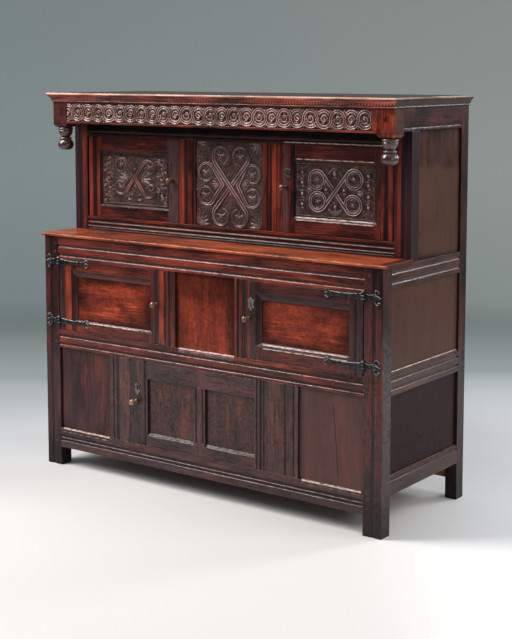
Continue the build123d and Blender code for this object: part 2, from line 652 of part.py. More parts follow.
class Door:
    """Sizes of one door. Side is -1 when it hangs on its left edge, 1 on its right. Stiles
    and rails are widths; mould is how far the sunk moulding reaches from the panel to the
    left, right, foot and head; hollows are spans of x."""

    def __init__(self, name, face, x, row, side, stiles, rails, pinned, mould, hollows=(),
                 mullion=None, recess=PANEL_RECESS):
        self.name = name
        self.face = face
        self.x0, self.x1 = x
        self.z0 = row[0] + DOOR_LIFT
        self.z1 = row[1] - DOOR_LIFT
        self.side = side
        self.left, self.right = stiles
        self.foot, self.head = rails
        self.pinned = pinned
        self.mould = mould
        self.hollows = hollows
        self.mullion = mullion
        self.recess = recess
        self.inner = (self.x0 + self.left, self.x1 - self.right)
        self.rows = (self.z0 + self.foot, self.z1 - self.head)

    def panes(self):
        """Openings for the panels, one or two, as (x0, x1, z0, z1)."""
        x0, x1 = self.inner
        if self.mullion is None:
            return [(x0, x1, *self.rows)]
        return [(x0, self.mullion[0], *self.rows), (self.mullion[1], x1, *self.rows)]

    def axis_x(self):
        """Where the hinge line stands."""
        if self.pinned:
            edge = self.x0 if self.side < 0 else self.x1
            return edge - self.side * DOOR_THICK / 2
        return self.side * STRAP_AXIS_X

    def lock_edge(self):
        """The free edge of the door."""
        return self.x1 if self.side < 0 else self.x0


UPPER_LEFT = Door(
    "upper_left_door", UPPER_FACE, (-STILE_INNER + DOOR_GAP, UPPER_MUNTINS[0][0] - DOOR_GAP),
    UPPER_ROW, side=-1, stiles=(76, 57), rails=(52, 59), pinned=True, mould=(9, 9, 7, 10),
    hollows=[(-701, -679)], recess=CARVED_RECESS + 3)
UPPER_RIGHT = Door(
    "upper_right_door", UPPER_FACE, (UPPER_MUNTINS[1][1] + DOOR_GAP, STILE_INNER - DOOR_GAP),
    UPPER_ROW, side=1, stiles=(80, 78), rails=(61, 66), pinned=True, mould=(9, 9, 9, 12),
    hollows=[(688, 707)], recess=CARVED_RECESS + 3)
MIDDLE_LEFT = Door(
    "middle_left_door", FACE, (-POST_INNER + STRAP_DOOR_GAP, MIDDLE_MUNTINS[0][0] - DOOR_GAP),
    MIDDLE_ROW, side=-1, stiles=(93, 78), rails=(46, 65), pinned=False, mould=(28, 12, 9, 25),
    hollows=[(-708, -690), (-217, -196)])
MIDDLE_RIGHT = Door(
    "middle_right_door", FACE, (MIDDLE_MUNTINS[1][1] + DOOR_GAP, POST_INNER - STRAP_DOOR_GAP),
    MIDDLE_ROW, side=1, stiles=(84, 60), rails=(62, 67), pinned=False, mould=(26, 14, 12, 25),
    hollows=[(208, 224), (686, 703)])
LOWER = Door(
    "lower_door", FACE, (LOWER_MUNTINS[0][1] + DOOR_GAP, LOWER_JAMB[0] - DOOR_GAP),
    LOWER_ROW, side=1, stiles=(88, 30), rails=(50, 69), pinned=True, mould=None,
    hollows=[(-274, -264), (-21, -11), (11, 21), (265, 273)], mullion=(-27.0, 27.0))
DOORS = [UPPER_LEFT, UPPER_RIGHT, MIDDLE_LEFT, MIDDLE_RIGHT, LOWER]

LOWER_PIVOTS = pin_holes(LOWER.axis_x(), FACE, *LOWER_ROW)
UPPER_PIVOTS = []
for door in (UPPER_LEFT, UPPER_RIGHT):
    UPPER_PIVOTS += pin_holes(door.axis_x(), UPPER_FACE, *UPPER_ROW)


def door_tenons(door):
    """Tenons of the door's two rails, and of the middle stile if it has one."""
    x0, x1 = door.inner
    y0 = door.face + TENON_SETBACK
    y1 = y0 + 7
    tenons = []
    for z0, z1 in ((door.z0, door.rows[0]), (door.rows[1], door.z1)):
        low = z0 + 10
        high = z1 - 12
        tenons.append(block(x0 - 0.45 * door.left, x0, y0, y1, low, high))
        tenons.append(block(x1, x1 + 0.45 * door.right, y0, y1, low, high))
    if door.mullion:
        left, right = door.mullion
        z0, z1 = door.rows
        tenons.append(block(left + 10, right - 10, y0, y1, z0 - 24, z0))
        tenons.append(block(left + 10, right - 10, y0, y1, z1, z1 + 24))
    return tenons


def mould_pocket(pane, door):
    """The mitred moulding sunk round a panel: a quirk, a long slope and a lip at the panel."""
    x0, x1, z0, z1 = pane
    left, right, foot, head = door.mould
    outer = (x0 - left, x1 + right, z0 - foot, z1 + head)
    quirk = block(*outer[:2], door.face - 1, door.face + MOULD_STEP, *outer[2:])
    rim = rect_face(outer[0] + MOULD_STEP, outer[1] - MOULD_STEP, outer[2] + MOULD_STEP,
                    outer[3] - MOULD_STEP, door.face + MOULD_STEP - 0.1)
    well = rect_face(x0, x1, z0, z1, door.face + door.recess - MOULD_STEP)
    return quirk + loft([rim, well])


def door_hollows(door):
    """Hollows down the stiles, and down the middle stile between the rails."""
    cuts = []
    for low, high in door.hollows:
        between = door.mullion and door.mullion[0] < low < door.mullion[1]
        z0, z1 = door.rows if between else (door.z0 - 1, door.z1 + 1)
        cuts.append(trough(low, high, z0, z1, door.face))
    return cuts


def door_sticks(door):
    """Left and right stile, foot and head rail, and the middle stile if there is one."""
    y0 = door.face
    y1 = y0 + DOOR_THICK
    x0, x1 = door.inner
    sticks = [
        block(door.x0, x0, y0, y1, door.z0, door.z1),
        block(x1, door.x1, y0, y1, door.z0, door.z1),
        block(x0, x1, y0, y1, door.z0, door.rows[0]),
        block(x0, x1, y0, y1, door.rows[1], door.z1),
    ]
    if door.pinned:
        sticks[0 if door.side < 0 else 1] = hanging_stile(door)
    if door.mullion:
        sticks.append(block(*door.mullion, y0, y1, *door.rows))
    return sticks


def door_frame(door, cuts):
    """Stiles and rails of a door, with tenons, panel grooves and mouldings."""
    sticks = door_sticks(door)
    tenons = door_tenons(door)
    sticks[0] -= tenons[0:4]
    sticks[1] -= tenons[0:4]
    sticks[2] += tenons[0:2]
    sticks[3] += tenons[2:4]
    if door.mullion:
        sticks[2] -= tenons[4]
        sticks[3] -= tenons[5]
        sticks[4] += tenons[4:6]
    if door.mould:
        cuts = cuts + [mould_pocket(pane, door) for pane in door.panes()]
    else:
        sticks[2] -= door_chamfers(door)
    grooves = [front_groove(*pane, door.face, door.recess) for pane in door.panes()]
    return [stick - grooves - cuts - door_hollows(door) for stick in sticks]


def hanging_stile(door):
    """The stile on the hinge side, its outer edge rounded about the pivot."""
    y0 = door.face
    height = door.z1 - door.z0
    axis = door.axis_x()
    inner = door.inner[0] if door.side < 0 else door.inner[1]
    flat = block(min(axis, inner), max(axis, inner), y0, y0 + DOOR_THICK, door.z0, door.z1)
    nose = Pos(axis, y0 + DOOR_THICK / 2, (door.z0 + door.z1) / 2) * Cylinder(DOOR_THICK / 2, height)
    return flat + nose


def door_chamfers(door):
    """Bevels on the foot rail's top arris below each panel."""
    cuts = []
    for x0, x1, z0, _ in door.panes():
        cuts.append(extrude(chamfer_wedge(x0, z0, door.face, *DOOR_CHAMFER), amount=x1 - x0))
    return cuts


def pivot_pins():
    """Iron pins between the rails and the ends of the hanging stiles."""
    pins = []
    for door, row in ((LOWER, LOWER_ROW), (UPPER_LEFT, UPPER_ROW), (UPPER_RIGHT, UPPER_ROW)):
        for z in row:
            pin = Cylinder(PIN_RADIUS, 2 * PIN_GRIP)
            pins.append(Pos(door.axis_x(), door.face + DOOR_THICK / 2, z) * pin)
    return pins


# ---- iron hinges --------------------------------------------------------------------
def curl(side, size):
    """One curled tendril of wrought iron: a crescent that thickens to a rolled tip."""
    outer = Pos(13 * size, 9.5 * size * side) * Circle(10.5 * size)
    hollow = Pos(15 * size, 10 * size * side) * Circle(7 * size)
    mouth = Pos(22.5 * size, 6 * size * side) * Rectangle(12 * size, 9 * size)
    tip = Pos(18.5 * size, 13 * size * side) * Circle(3.4 * size)
    return outer - hollow - mouth + tip


def bud(size):
    """The pointed leaf between two tendrils."""
    return make_face([
        ThreePointArc((2 * size, -3 * size), (14 * size, -4.5 * size), (26 * size, 0)),
        ThreePointArc((26 * size, 0), (14 * size, 4.5 * size), (2 * size, 3 * size)),
        Line((2 * size, 3 * size), (2 * size, -3 * size)),
    ])


def hinge_plate(reach, root, neck, size, lift):
    """A waisted plate from the hinge line out to a forked, curled end, drawn along +u.
    Root and neck are its half-heights there; lift moves the tendrils apart."""
    end = reach - 26.0 * size
    waist = (0.6 * end, 0.75 * neck)
    blade = make_face([
        ThreePointArc((0, root), waist, (end, neck)),
        Polyline((end, neck), (end + 5, neck), (end + 5, -neck), (end, -neck)),
        ThreePointArc((end, -neck), (waist[0], -waist[1]), (0, -root)),
        Line((0, -root), (0, root)),
    ])
    tendrils = Pos(0, lift) * curl(1, size) + Pos(0, -lift) * curl(-1, size)
    return blade + Pos(end, 0) * (tendrils + bud(size))


def knuckle(z0, z1):
    """A rolled eye round the hinge pin, open for the pin."""
    eye = Cylinder(KNUCKLE_RADIUS, z1 - z0) - Cylinder(HINGE_BORE, z1 - z0 + 2)
    return Pos(0, 0, (z0 + z1) / 2) * eye


def hinge_parts():
    """Strap, post leaf and pin of one hinge about the z axis, for the right-hand side.
    The strap reaches towards -x and the leaf towards +x; both bear on y = knuckle radius."""
    third = KNUCKLE_HEIGHT / 6
    bearing = KNUCKLE_RADIUS - STRAP_THICK
    room = 2 * (KNUCKLE_RADIUS + KNUCKLE_GAP)
    plane = Plane(origin=(0, bearing, 0), x_dir=(-1, 0, 0), z_dir=(0, 1, 0))
    strap = extrude(plane * hinge_plate(STRAP_REACH, 13.0, 9.0, 0.85, 0.0), amount=STRAP_THICK)
    for side in (-1, 1):
        strap -= Pos(0, 0, side * (third + room)) * Box(room, room + 6, 2 * room)
    strap += knuckle(-third, third)
    plane = Plane(origin=(0, bearing, 0), x_dir=(1, 0, 0), z_dir=(0, 1, 0))
    leaf = extrude(plane * hinge_plate(LEAF_REACH, 16.0, 12.0, 1.2, 3.0), amount=STRAP_THICK)
    leaf -= Box(room, room + 6, 2 * (third + KNUCKLE_GAP))
    leaf += knuckle(third + KNUCKLE_GAP, 3 * third)
    leaf += knuckle(-3 * third, -third - KNUCKLE_GAP)
    pin = Cylinder(HINGE_PIN_RADIUS, KNUCKLE_HEIGHT + 1)
    pin += Pos(0, 0, KNUCKLE_HEIGHT / 2 + 1.5) * Cylinder(HINGE_PIN_RADIUS + 1.2, 3)
    return strap, leaf, pin


def strap_hinges():
    """Straps of the right and left door, then leaves and pins of both posts."""
    strap, leaf, pin = hinge_parts()
    place = [Pos(STRAP_AXIS_X, FACE - KNUCKLE_RADIUS, z) for z in HINGE_HEIGHTS]
    straps = [spot * strap for spot in place]
    fixed = [spot * piece for spot in place for piece in (leaf, pin)]
    left = [mirror(piece, about=Plane.YZ) for piece in straps]
    return straps, left, both_sides(fixed)


# ---- knobs, locks, catch and stops --------------------------------------------------
def knob(x, z, face, shank):
    """A turned mushroom knob whose shank goes back into the door."""
    top = -KNOB_REACH
    outline = [
        Line((0, top), (4, top)),
        ThreePointArc((4, top), (12, top + 9), (6.5, top + 17)),
        Polyline((6.5, top + 17), (5.5, top + 23), (9, -3), (9, 0), (SHANK_RADIUS, 0)),
        Polyline((SHANK_RADIUS, 0), (SHANK_RADIUS, shank), (0, shank), (0, top)),
    ]
    turned = revolve(make_face(outline), Axis.Y, 360)
    return Pos(x, face, z) * turned


def knob_hole(x, z, face):
    """The hole for a knob's shank, right through the stile."""
    return Pos(x, face + DOOR_THICK / 2, z) * Rot(90, 0, 0) * Cylinder(SHANK_HOLE, DOOR_THICK + 2)


def keyhole(x, z, face, depth):
    """A keyhole: a round eye with a slot below it."""
    plane = Plane(origin=(x, face - 3, z), x_dir=(1, 0, 0), z_dir=(0, 1, 0))
    slot = Pos(0, 5) * Circle(3.2) + Pos(0, -1.5) * Rectangle(3.4, 13)
    return extrude(plane * slot, amount=depth + 3)


def lock(door, x, z, plate):
    """Box lock on the back of the free stile, with its bolt drawn back.
    Returns the case and plate, and the bolt."""
    free = -door.side
    edge = door.lock_edge() - free * LOCK_INSET
    x0, x1 = sorted((edge, edge - free * LOCK_WIDTH))
    y0 = door.face + DOOR_THICK
    y1 = y0 + LOCK_DEPTH
    z0 = z - LOCK_HEIGHT / 2
    z1 = z0 + LOCK_HEIGHT
    case = block(x0, x1, y0, y1, z0, z1)
    case -= block(x0 + LOCK_WALL, x1 - LOCK_WALL, y0 + LOCK_WALL, y1 - LOCK_WALL,
                  z0 + LOCK_WALL, z1 - LOCK_WALL)
    x0, x1 = sorted((edge, edge - free * BOLT_LENGTH))
    y0 += BOLT_BACK
    y1 = y0 + BOLT_THICK
    z0 = z + BOLT_RISE - BOLT_HEIGHT / 2
    z1 = z0 + BOLT_HEIGHT
    bolt = block(x0, x1, y0, y1, z0, z1)
    case -= block(x0 - 1, x1 + 1, y0 - BOLT_GAP, y1 + BOLT_GAP, z0 - BOLT_GAP, z1 + BOLT_GAP)
    hole = keyhole(x, z, door.face, DOOR_THICK + LOCK_WALL + 2)
    pieces = [case - hole]
    if plate:
        pieces.append(escutcheon(x, z, door.face) - hole)
    return pieces, bolt


def escutcheon(x, z, face):
    """A shaped iron plate round the keyhole, cusped at head and foot."""
    plane = Plane(origin=(x, face, z), x_dir=(1, 0, 0), z_dir=(0, -1, 0))
    outline = make_face([
        Polyline((-7, 16), (-14, 16), (-14, 9)),
        ThreePointArc((-14, 9), (-10, 0), (-14, -9)),
        Polyline((-14, -9), (-14, -16), (-7, -16)),
        ThreePointArc((-7, -16), (0, -25), (7, -16)),
        Polyline((7, -16), (14, -16), (14, -9)),
        ThreePointArc((14, -9), (10, 0), (14, 9)),
        Polyline((14, 9), (14, 16), (7, 16)),
        ThreePointArc((7, 16), (0, 22), (-7, 16)),
    ])
    return extrude(plane * outline, amount=PLATE_THICK)


def catch_button(x, z, face):
    """A wooden turn-button on the knob's shank inside the door, hanging down."""
    back = face + DOOR_THICK
    bar = block(x - 9, x + 9, back + 5, back + 13, z - 66, z + 12)
    bar = fillet(bar.edges().filter_by(Axis.Y), 7.0)
    hub = Pos(x, back + 3, z) * Rot(90, 0, 0) * Cylinder(10, 5)
    bore = Pos(x, back + 5, z) * Rot(90, 0, 0) * Cylinder(SHANK_RADIUS, 30)
    return bar + hub - bore


def door_stops():
    """Small blocks behind the free edge of each door, fixed to its neighbour."""
    stops = []
    for door in DOORS:
        free = -door.side
        edge = door.lock_edge()
        x0, x1 = sorted((edge - free * STOP_LAP, edge + free * STOP_HOLD))
        y0 = door.face + DOOR_THICK + 0.3
        y1 = door.face + RAIL_THICK + 12
        reach = edge + free * DOOR_GAP
        a0, a1 = sorted((reach, reach + free * 2 * STOP_HOLD))
        for z in (door.z0 + 3, door.z1 - 3 - STOP_HEIGHT):
            stop = block(x0, x1, y0, y1, z, z + STOP_HEIGHT)
            neighbour = block(a0, a1, door.face, door.face + RAIL_THICK, z - 1, z + STOP_HEIGHT + 1)
            stops.append(stop - neighbour)
    return stops


# ---- fittings of each door: knob place, lock place, plate ----------------------------
KNOBS = {
    "upper_left_door": (-277.0, 1181.0),
    "upper_right_door": (268.0, 1183.0),
    "middle_left_door": (-206.0, 722.0),
    "middle_right_door": (232.0, 715.0),
    "lower_door": (-315.0, 327.0),
}
LOCKS = {
    "upper_left_door": (-284.0, 1243.0, False),
    "upper_right_door": (275.0, 1234.0, True),
    "middle_right_door": (243.0, 770.0, True),
    "lower_door": (-308.0, 380.0, True),
}


def build_door(door):
    """Write every node of one door."""
    knob_x, knob_z = KNOBS[door.name]
    cuts = [knob_hole(knob_x, knob_z, door.face)]
    if door.pinned:
        cuts += pin_holes(door.axis_x(), door.face, door.z0 - 2, door.z1 + 2)
    if door.name in LOCKS:
        x, z, plate = LOCKS[door.name]
        cuts.append(keyhole(x, z, door.face, DOOR_THICK + 3))
        case, bolt = lock(door, x, z, plate)
        save(door.name + "_lock", case)
        save(door.name + "_bolt", [bolt])
    save(door.name + "_frame", door_frame(door, cuts))
    panels = [front_panel(*pane, door.face, door.recess) for pane in door.panes()]
    save(door.name + "_panel", panels)
    shank = DOOR_THICK + 13 if door is MIDDLE_LEFT else DOOR_THICK - 4
    save(door.name + "_knob", [knob(knob_x, knob_z, door.face, shank)])
    if door is MIDDLE_LEFT:
        save("middle_left_door_catch", [catch_button(knob_x, knob_z, door.face)])


def build_muntins(node, spans, hollows, row, face):
    """Write the uprights of one row as one node."""
    save(node, [muntin(span, row, face, bands) for span, bands in zip(spans, hollows)])


def build_carcase():
    """Write every fixed node."""
    for name, pair in (("front_post", front_posts()), ("rear_post", rear_posts()),
                       ("upper_stile", upper_stiles())):
        save(name + "_right", [pair[0]])
        save(name + "_left", [pair[1]])
    save("bottom_rail", [bottom_rail()])
    save("middle_rail", [middle_rail()])
    save("waist_rail", [waist_rail()])
    build_muntins("lower_muntins", LOWER_MUNTINS, LOWER_MUNTIN_HOLLOWS, LOWER_ROW, FACE)
    build_muntins("hinge_jamb", [LOWER_JAMB], [[(296, 304)]], LOWER_ROW, FACE)
    build_muntins("middle_muntins", MIDDLE_MUNTINS, MIDDLE_MUNTIN_HOLLOWS, MIDDLE_ROW, FACE)
    build_muntins("upper_muntins", UPPER_MUNTINS, UPPER_MUNTIN_HOLLOWS, UPPER_ROW, UPPER_FACE)
    save("lower_panels", [front_panel(*span, *LOWER_ROW, FACE) for span in LOWER_PANELS])
    save("middle_panel", [front_panel(*MIDDLE_PANEL, *MIDDLE_ROW, FACE)])
    save("upper_panel", [front_panel(*UPPER_PANEL, *UPPER_ROW, UPPER_FACE, CARVED_RECESS)])
    save("side_rails", side_rails())
    save("side_panels", both_sides([side_panel(*opening) for opening in SIDE_OPENINGS]))
    save("rear_rails", rear_rails())
    save("back_boards", back_boards())
    save("floor_boards", floor_boards())
    save("shelf_boards", shelf_boards())
    hollows = [(963, 970), (972, 986), (989, 1003)]
    save("upper_bottom_rail", [upper_rail(UPPER_BOTTOM_RAIL, hollows, UPPER_PIVOTS)])
    save("upper_top_rail", [upper_rail(UPPER_TOP_RAIL, [(1352, 1364)], UPPER_PIVOTS)])
    save("frieze_rail", [frieze_rail()])
    save("frieze_side_rails", frieze_side_rails())
    save("corner_blocks", corner_blocks())
    save("pendants", pendants())
    save("cornice_moulding", cornice_moulding())
    save("top_boards", top_boards())
    save("oak_pegs", FRONT_PEGS + UPPER_PEGS + both_sides(SIDE_PEGS))
    save("pivot_pins", pivot_pins())
    save("door_stops", door_stops())


def build_hinges():
    """Write the wrought-iron hinges of the two middle doors."""
    right, left, fixed = strap_hinges()
    save("middle_right_door_straps", right)
    save("middle_left_door_straps", left)
    save("post_hinge_leaves", fixed)


os.makedirs("parts", exist_ok=True)
build_carcase()
build_hinges()
for each in DOORS:
    build_door(each)
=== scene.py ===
import bpy
import math
import numpy as np
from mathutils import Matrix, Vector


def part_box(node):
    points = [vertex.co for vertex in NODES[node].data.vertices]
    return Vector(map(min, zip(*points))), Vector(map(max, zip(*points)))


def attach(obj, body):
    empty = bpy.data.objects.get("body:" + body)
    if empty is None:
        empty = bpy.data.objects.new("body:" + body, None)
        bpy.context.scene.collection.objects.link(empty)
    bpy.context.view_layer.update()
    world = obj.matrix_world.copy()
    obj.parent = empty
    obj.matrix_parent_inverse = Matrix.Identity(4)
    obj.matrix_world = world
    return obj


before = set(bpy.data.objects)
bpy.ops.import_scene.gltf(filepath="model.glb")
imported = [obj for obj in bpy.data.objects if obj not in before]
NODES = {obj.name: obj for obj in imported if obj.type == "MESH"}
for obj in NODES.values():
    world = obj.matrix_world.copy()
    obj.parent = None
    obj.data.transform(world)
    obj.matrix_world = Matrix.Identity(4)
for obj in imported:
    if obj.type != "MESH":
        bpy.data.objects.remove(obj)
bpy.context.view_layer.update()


# ---- node graphs ----
class Value:
    """What a node gives: every sum with it puts one more node into the graph."""

    def __init__(self, graph, socket):
        self.graph = graph
        self.socket = socket

    def __add__(self, other):
        return self.graph.math("ADD", self, other)

    def __sub__(self, other):
        return self.graph.math("SUBTRACT", self, other)

    def __rsub__(self, other):
        return self.graph.math("SUBTRACT", other, self)

    def __mul__(self, other):
        return self.graph.math("MULTIPLY", self, other)

    def __truediv__(self, other):
        return self.graph.math("DIVIDE", self, other)

    def __abs__(self):
        return self.graph.math("ABSOLUTE", self)

    __rmul__ = __mul__


class Graph:
    """A node tree with short calls for the nodes that the finishes share."""

    def __init__(self, tree):
        self.tree = tree

    def feed(self, socket, value):
        """Link a value of the graph to an input, or set the input to a number, place or colour."""
        value = getattr(value, "socket", value)
        if isinstance(value, bpy.types.NodeSocket):
            self.tree.links.new(value, socket)
        elif socket.type == "RGBA":
            socket.default_value = (*value, 1)
        else:
            socket.default_value = value

    def put(self, kind, feeds=(), **settings):
        """A new node with its settings, then its inputs fed by name or number. Kind is its type,
        for a shader node without ShaderNode in front."""
        node = self.tree.nodes.new(kind if kind.startswith("Node") else "ShaderNode" + kind)
        for key, value in settings.items():
            setattr(node, key, value)
        for key, value in dict(feeds).items():
            self.feed(node.inputs[key], value)
        return node

    def out(self, kind, feeds=(), output=0, **settings):
        """One output of a new node."""
        return Value(self, self.put(kind, feeds, **settings).outputs[output])

    def math(self, operation, *given):
        return self.out("Math", enumerate(given), operation=operation)

    def larger(self, a, b):
        return self.math("MAXIMUM", a, b)

    def vector(self, operation, *given):
        output = "Value" if operation in ("DOT_PRODUCT", "LENGTH") else "Vector"
        return self.out("VectorMath", enumerate(given), output, operation=operation)

    def join(self, *numbers):
        """A vector from up to three numbers."""
        return self.out("CombineXYZ", enumerate(numbers))

    def split(self, vector):
        """The three numbers of a vector."""
        return [Value(self, part) for part in self.put("SeparateXYZ", {0: vector}).outputs]

    def point(self):
        """The place on the piece, as a vector in metres."""
        return self.out("TexCoord", output="Object")

    def place(self):
        """The place on the piece, as three numbers in metres."""
        return self.split(self.point())

    def normal(self):
        """The direction in which the surface really faces."""
        return self.out("NewGeometry", output="Normal")

    def span(self, value, low, high, to_low=0.0, to_high=1.0):
        """Value from low to high, eased to the two given ends."""
        return self.out("MapRange", enumerate((value, low, high, to_low, to_high)),
                        interpolation_type="SMOOTHSTEP")

    def span_line(self, value, low, high):
        """Value from low to high, straight to 0 and 1."""
        return self.out("MapRange", enumerate((value, low, high)))

    def ramp(self, share, stops):
        """Colours at places from 0 to 1, blended between."""
        node = self.put("ValToRGB", {0: share})
        marks = node.color_ramp.elements
        for place, _ in stops[1:-1]:
            marks.new(place)
        for mark, (_, colour) in zip(marks, stops):
            mark.color = (*colour, 1)
        return Value(self, node.outputs[0])

    def mix(self, share, a, b, blend="MIX"):
        """Colour a that turns into colour b by the share."""
        return self.out("Mix", {0: share, 6: a, 7: b}, 2, data_type="RGBA", blend_type=blend)

    def times(self, colour, factor):
        """Colour multiplied by a number or by another colour."""
        return self.mix(1.0, colour, factor, "MULTIPLY")

    def noise(self, place, scale=1.0, detail=3.0, rough=0.55, bend=0.0):
        return self.out("TexNoise", {"Vector": place, "Scale": scale, "Detail": detail,
                                     "Roughness": rough, "Distortion": bend})

    def wander(self, scale, reach, detail=3.0):
        """A slow drift about 0 over the piece: (noise - 0.5) reach."""
        return (self.noise(self.point(), scale, detail) - 0.5) * reach


def bare_graph(owner):
    """The emptied graph of a new material or world."""
    owner.use_nodes = True
    owner.node_tree.nodes.clear()
    return Graph(owner.node_tree)


SEED_STEPS = (13.1, 7.7, 3.3)


def oak_group():
    """Old polished oak as one shared group. Place is in grain space: z runs along the grain.
    Sunk is 1 where the surface lies in a hollow below the face of its stick, Glow where it is
    rubbed to a brighter tone, and Arris is the radius that handling has given the edges."""
    tree = bpy.data.node_groups.new("old oak", "ShaderNodeTree")
    sides = {"INPUT": {"Vector": "Place", "Color": "Deep Body Warm",
                       "Float": "Seed Wear Figure Grime Sunk Glow Bump Arris"},
             "OUTPUT": {"Color": "Color", "Float": "Roughness Polish", "Vector": "Normal"}}
    for way, kinds in sides.items():
        for kind, names in kinds.items():
            for name in names.split():
                tree.interface.new_socket(name, in_out=way, socket_type="NodeSocket" + kind)
    g = Graph(tree)
    given = {side.name: Value(g, side) for side in g.put("NodeGroupInput").outputs}
    deep, warm, wear = given["Deep"], given["Warm"], given["Wear"]
    shift = g.join(*(given["Seed"] * step for step in SEED_STEPS))
    place = g.vector("ADD", given["Place"], shift)

    def grain(across, along, **kind):
        """Noise with its own fineness across and along the grain."""
        return g.noise(g.vector("MULTIPLY", place, (across, across, along)), **kind)

    patina = grain(9, 4, detail=4, rough=0.62)
    warmth = grain(16, 3.2, rough=0.6, bend=0.4)
    rings = grain(95, 3.4, detail=5, rough=0.66, bend=0.5)
    fibre = grain(250, 13, detail=4, rough=0.7)
    pits = g.span(grain(900, 42, detail=1), 0.6, 0.72)
    streak = rings * 0.36 + fibre * 0.64
    tone = (streak - 0.5) * given["Figure"] + 0.5 + (patina - 0.5) * 2.3
    colour = g.mix(g.span(tone, 0.1, 0.9), deep, given["Body"])
    glow = g.span(warmth, 0.44, 0.68) * g.span(streak, 0.4, 0.6)
    rubbed = given["Glow"] * g.span(streak, 0.36, 0.56, 0.45, 1.0)
    colour = g.mix(g.larger(glow * 0.75, rubbed), colour, warm)
    colour = g.mix(pits * 0.6, colour, deep)

    soft = g.out("Bevel", {"Radius": given["Arris"]}, samples=6)
    true = g.normal()
    turned = 1.0 - g.vector("DOT_PRODUCT", soft, true)
    # Arrises go paler in broken stretches: edge wear, and a painted highlight where edges would catch
    # the light.
    rub_and_highlight = g.noise(place, scale=30, rough=0.65)
    worn_arris_and_highlight = g.span(turned, 0.01, 0.16) * g.span(rub_and_highlight, 0.34, 0.6) * wear
    colour = g.mix(worn_arris_and_highlight, colour, g.mix(0.45, warm, (0.5, 0.26, 0.2)))
    # Painted highlight: slopes that face partly upwards, such as chamfers and moulding flanks, are
    # painted pale in broken streaks, scaled by the wear.
    tilt = g.split(true)[2]
    ledge_breakup = g.span(grain(230, 38, detail=4, rough=0.7), 0.46, 0.6)
    ledge_highlight = g.span(tilt, 0.15, 0.45) * g.span(tilt, 0.97, 0.85) * ledge_breakup * wear
    colour = g.mix(ledge_highlight, colour, g.mix(0.35, warm, (0.72, 0.5, 0.44)))

    # Painted shade with dirt: nooks that ambient occlusion finds are darkened, and hollows below the
    # face of the stick are darkened too.
    nook = g.out("AmbientOcclusion", {"Distance": 0.03}, "AO", samples=6)
    shade_and_grime = g.larger(g.span(nook, 0.95, 0.45) * given["Grime"],
                     given["Sunk"] * g.span(patina, 0.25, 0.55, 0.45, 0.8))
    colour = g.mix(shade_and_grime, colour, (0.011, 0.006, 0.006))
    relief = g.out("Bump", {"Distance": 0.001, "Strength": given["Bump"],
                            "Height": streak * 0.6 - pits * 0.5, "Normal": soft})
    g.put("NodeGroupOutput", {
        "Color": colour, "Normal": relief,
        "Roughness": g.span(patina, 0.3, 0.7, 0.26, 0.38) + pits * 0.12 + shade_and_grime * 0.1 - worn_arris_and_highlight * 0.1,
        "Polish": g.span(g.noise(place, scale=75, rough=0.7), 0.36, 0.58, 0.2, 1.0)})
    return tree


OAK = oak_group()
WORN_ARRIS, CARVED_ARRIS = 0.0022, 0.0005
# Share of painted shade and dirt in nooks, and strength of the grain relief.
NOOK_SHADE_AND_GRIME, GRAIN_RELIEF = 0.85, 0.3
WAXED = 0.8
SPARE_GRAIN = (4.0, 2.0, 1.0)


def inside_spans(g, x, spans):
    """1 inside any of the spans of x."""
    inside = 0.0
    for low, high in spans:
        inside = g.larger(inside, g.math("COMPARE", x, (low + high) / 2, (high - low) / 2))
    return inside


def grain_place(g, grain, uprights):
    """The place turned so that z runs along the grain. Grain is the axis of the sticks; uprights
    are spans of x inside which they stand upright, cut from other wood."""
    parts = g.place()
    orders = {"x": (1, 2, 0), "y": (0, 2, 1), "z": (0, 1, 2)}
    lying = g.join(*(parts[index] for index in orders[grain]))
    if not uprights:
        return lying
    standing = g.vector("ADD", g.point(), SPARE_GRAIN)
    feeds = {0: inside_spans(g, parts[0], uprights), 4: lying, 5: standing}
    return g.out("Mix", feeds, 1, data_type="VECTOR")


def carved_shade_and_highlight(g, colour, rise, rub_and_highlight):
    """Ground painted dark as shade where the rise is low, stained and flecked; tops painted towards
    the given tone, as wear with a painted highlight.
    """
    stain = g.noise(g.point(), scale=55, rough=0.6)
    ground = g.mix(g.span(stain, 0.4, 0.6), (0.006, 0.004, 0.004), (0.045, 0.013, 0.011))
    fleck = g.noise(g.point(), scale=240, rough=0.6)
    ground = g.mix(g.span(fleck, 0.5, 0.62, 0.0, 0.5), ground, (0.2, 0.115, 0.105))
    # Painted shade: the low ground goes nearly black.
    colour = g.mix(g.span(rise, 0.6, 0.22, 0.0, 0.97), colour, ground)
    # Painted highlight, with wear, on the tops.
    drift = g.noise(g.point(), scale=13, detail=4, rough=0.65)
    return g.mix(g.span(rise, 0.58, 0.99) * g.span(drift, 0.36, 0.62, 0.25, 0.95), colour, rub_and_highlight)


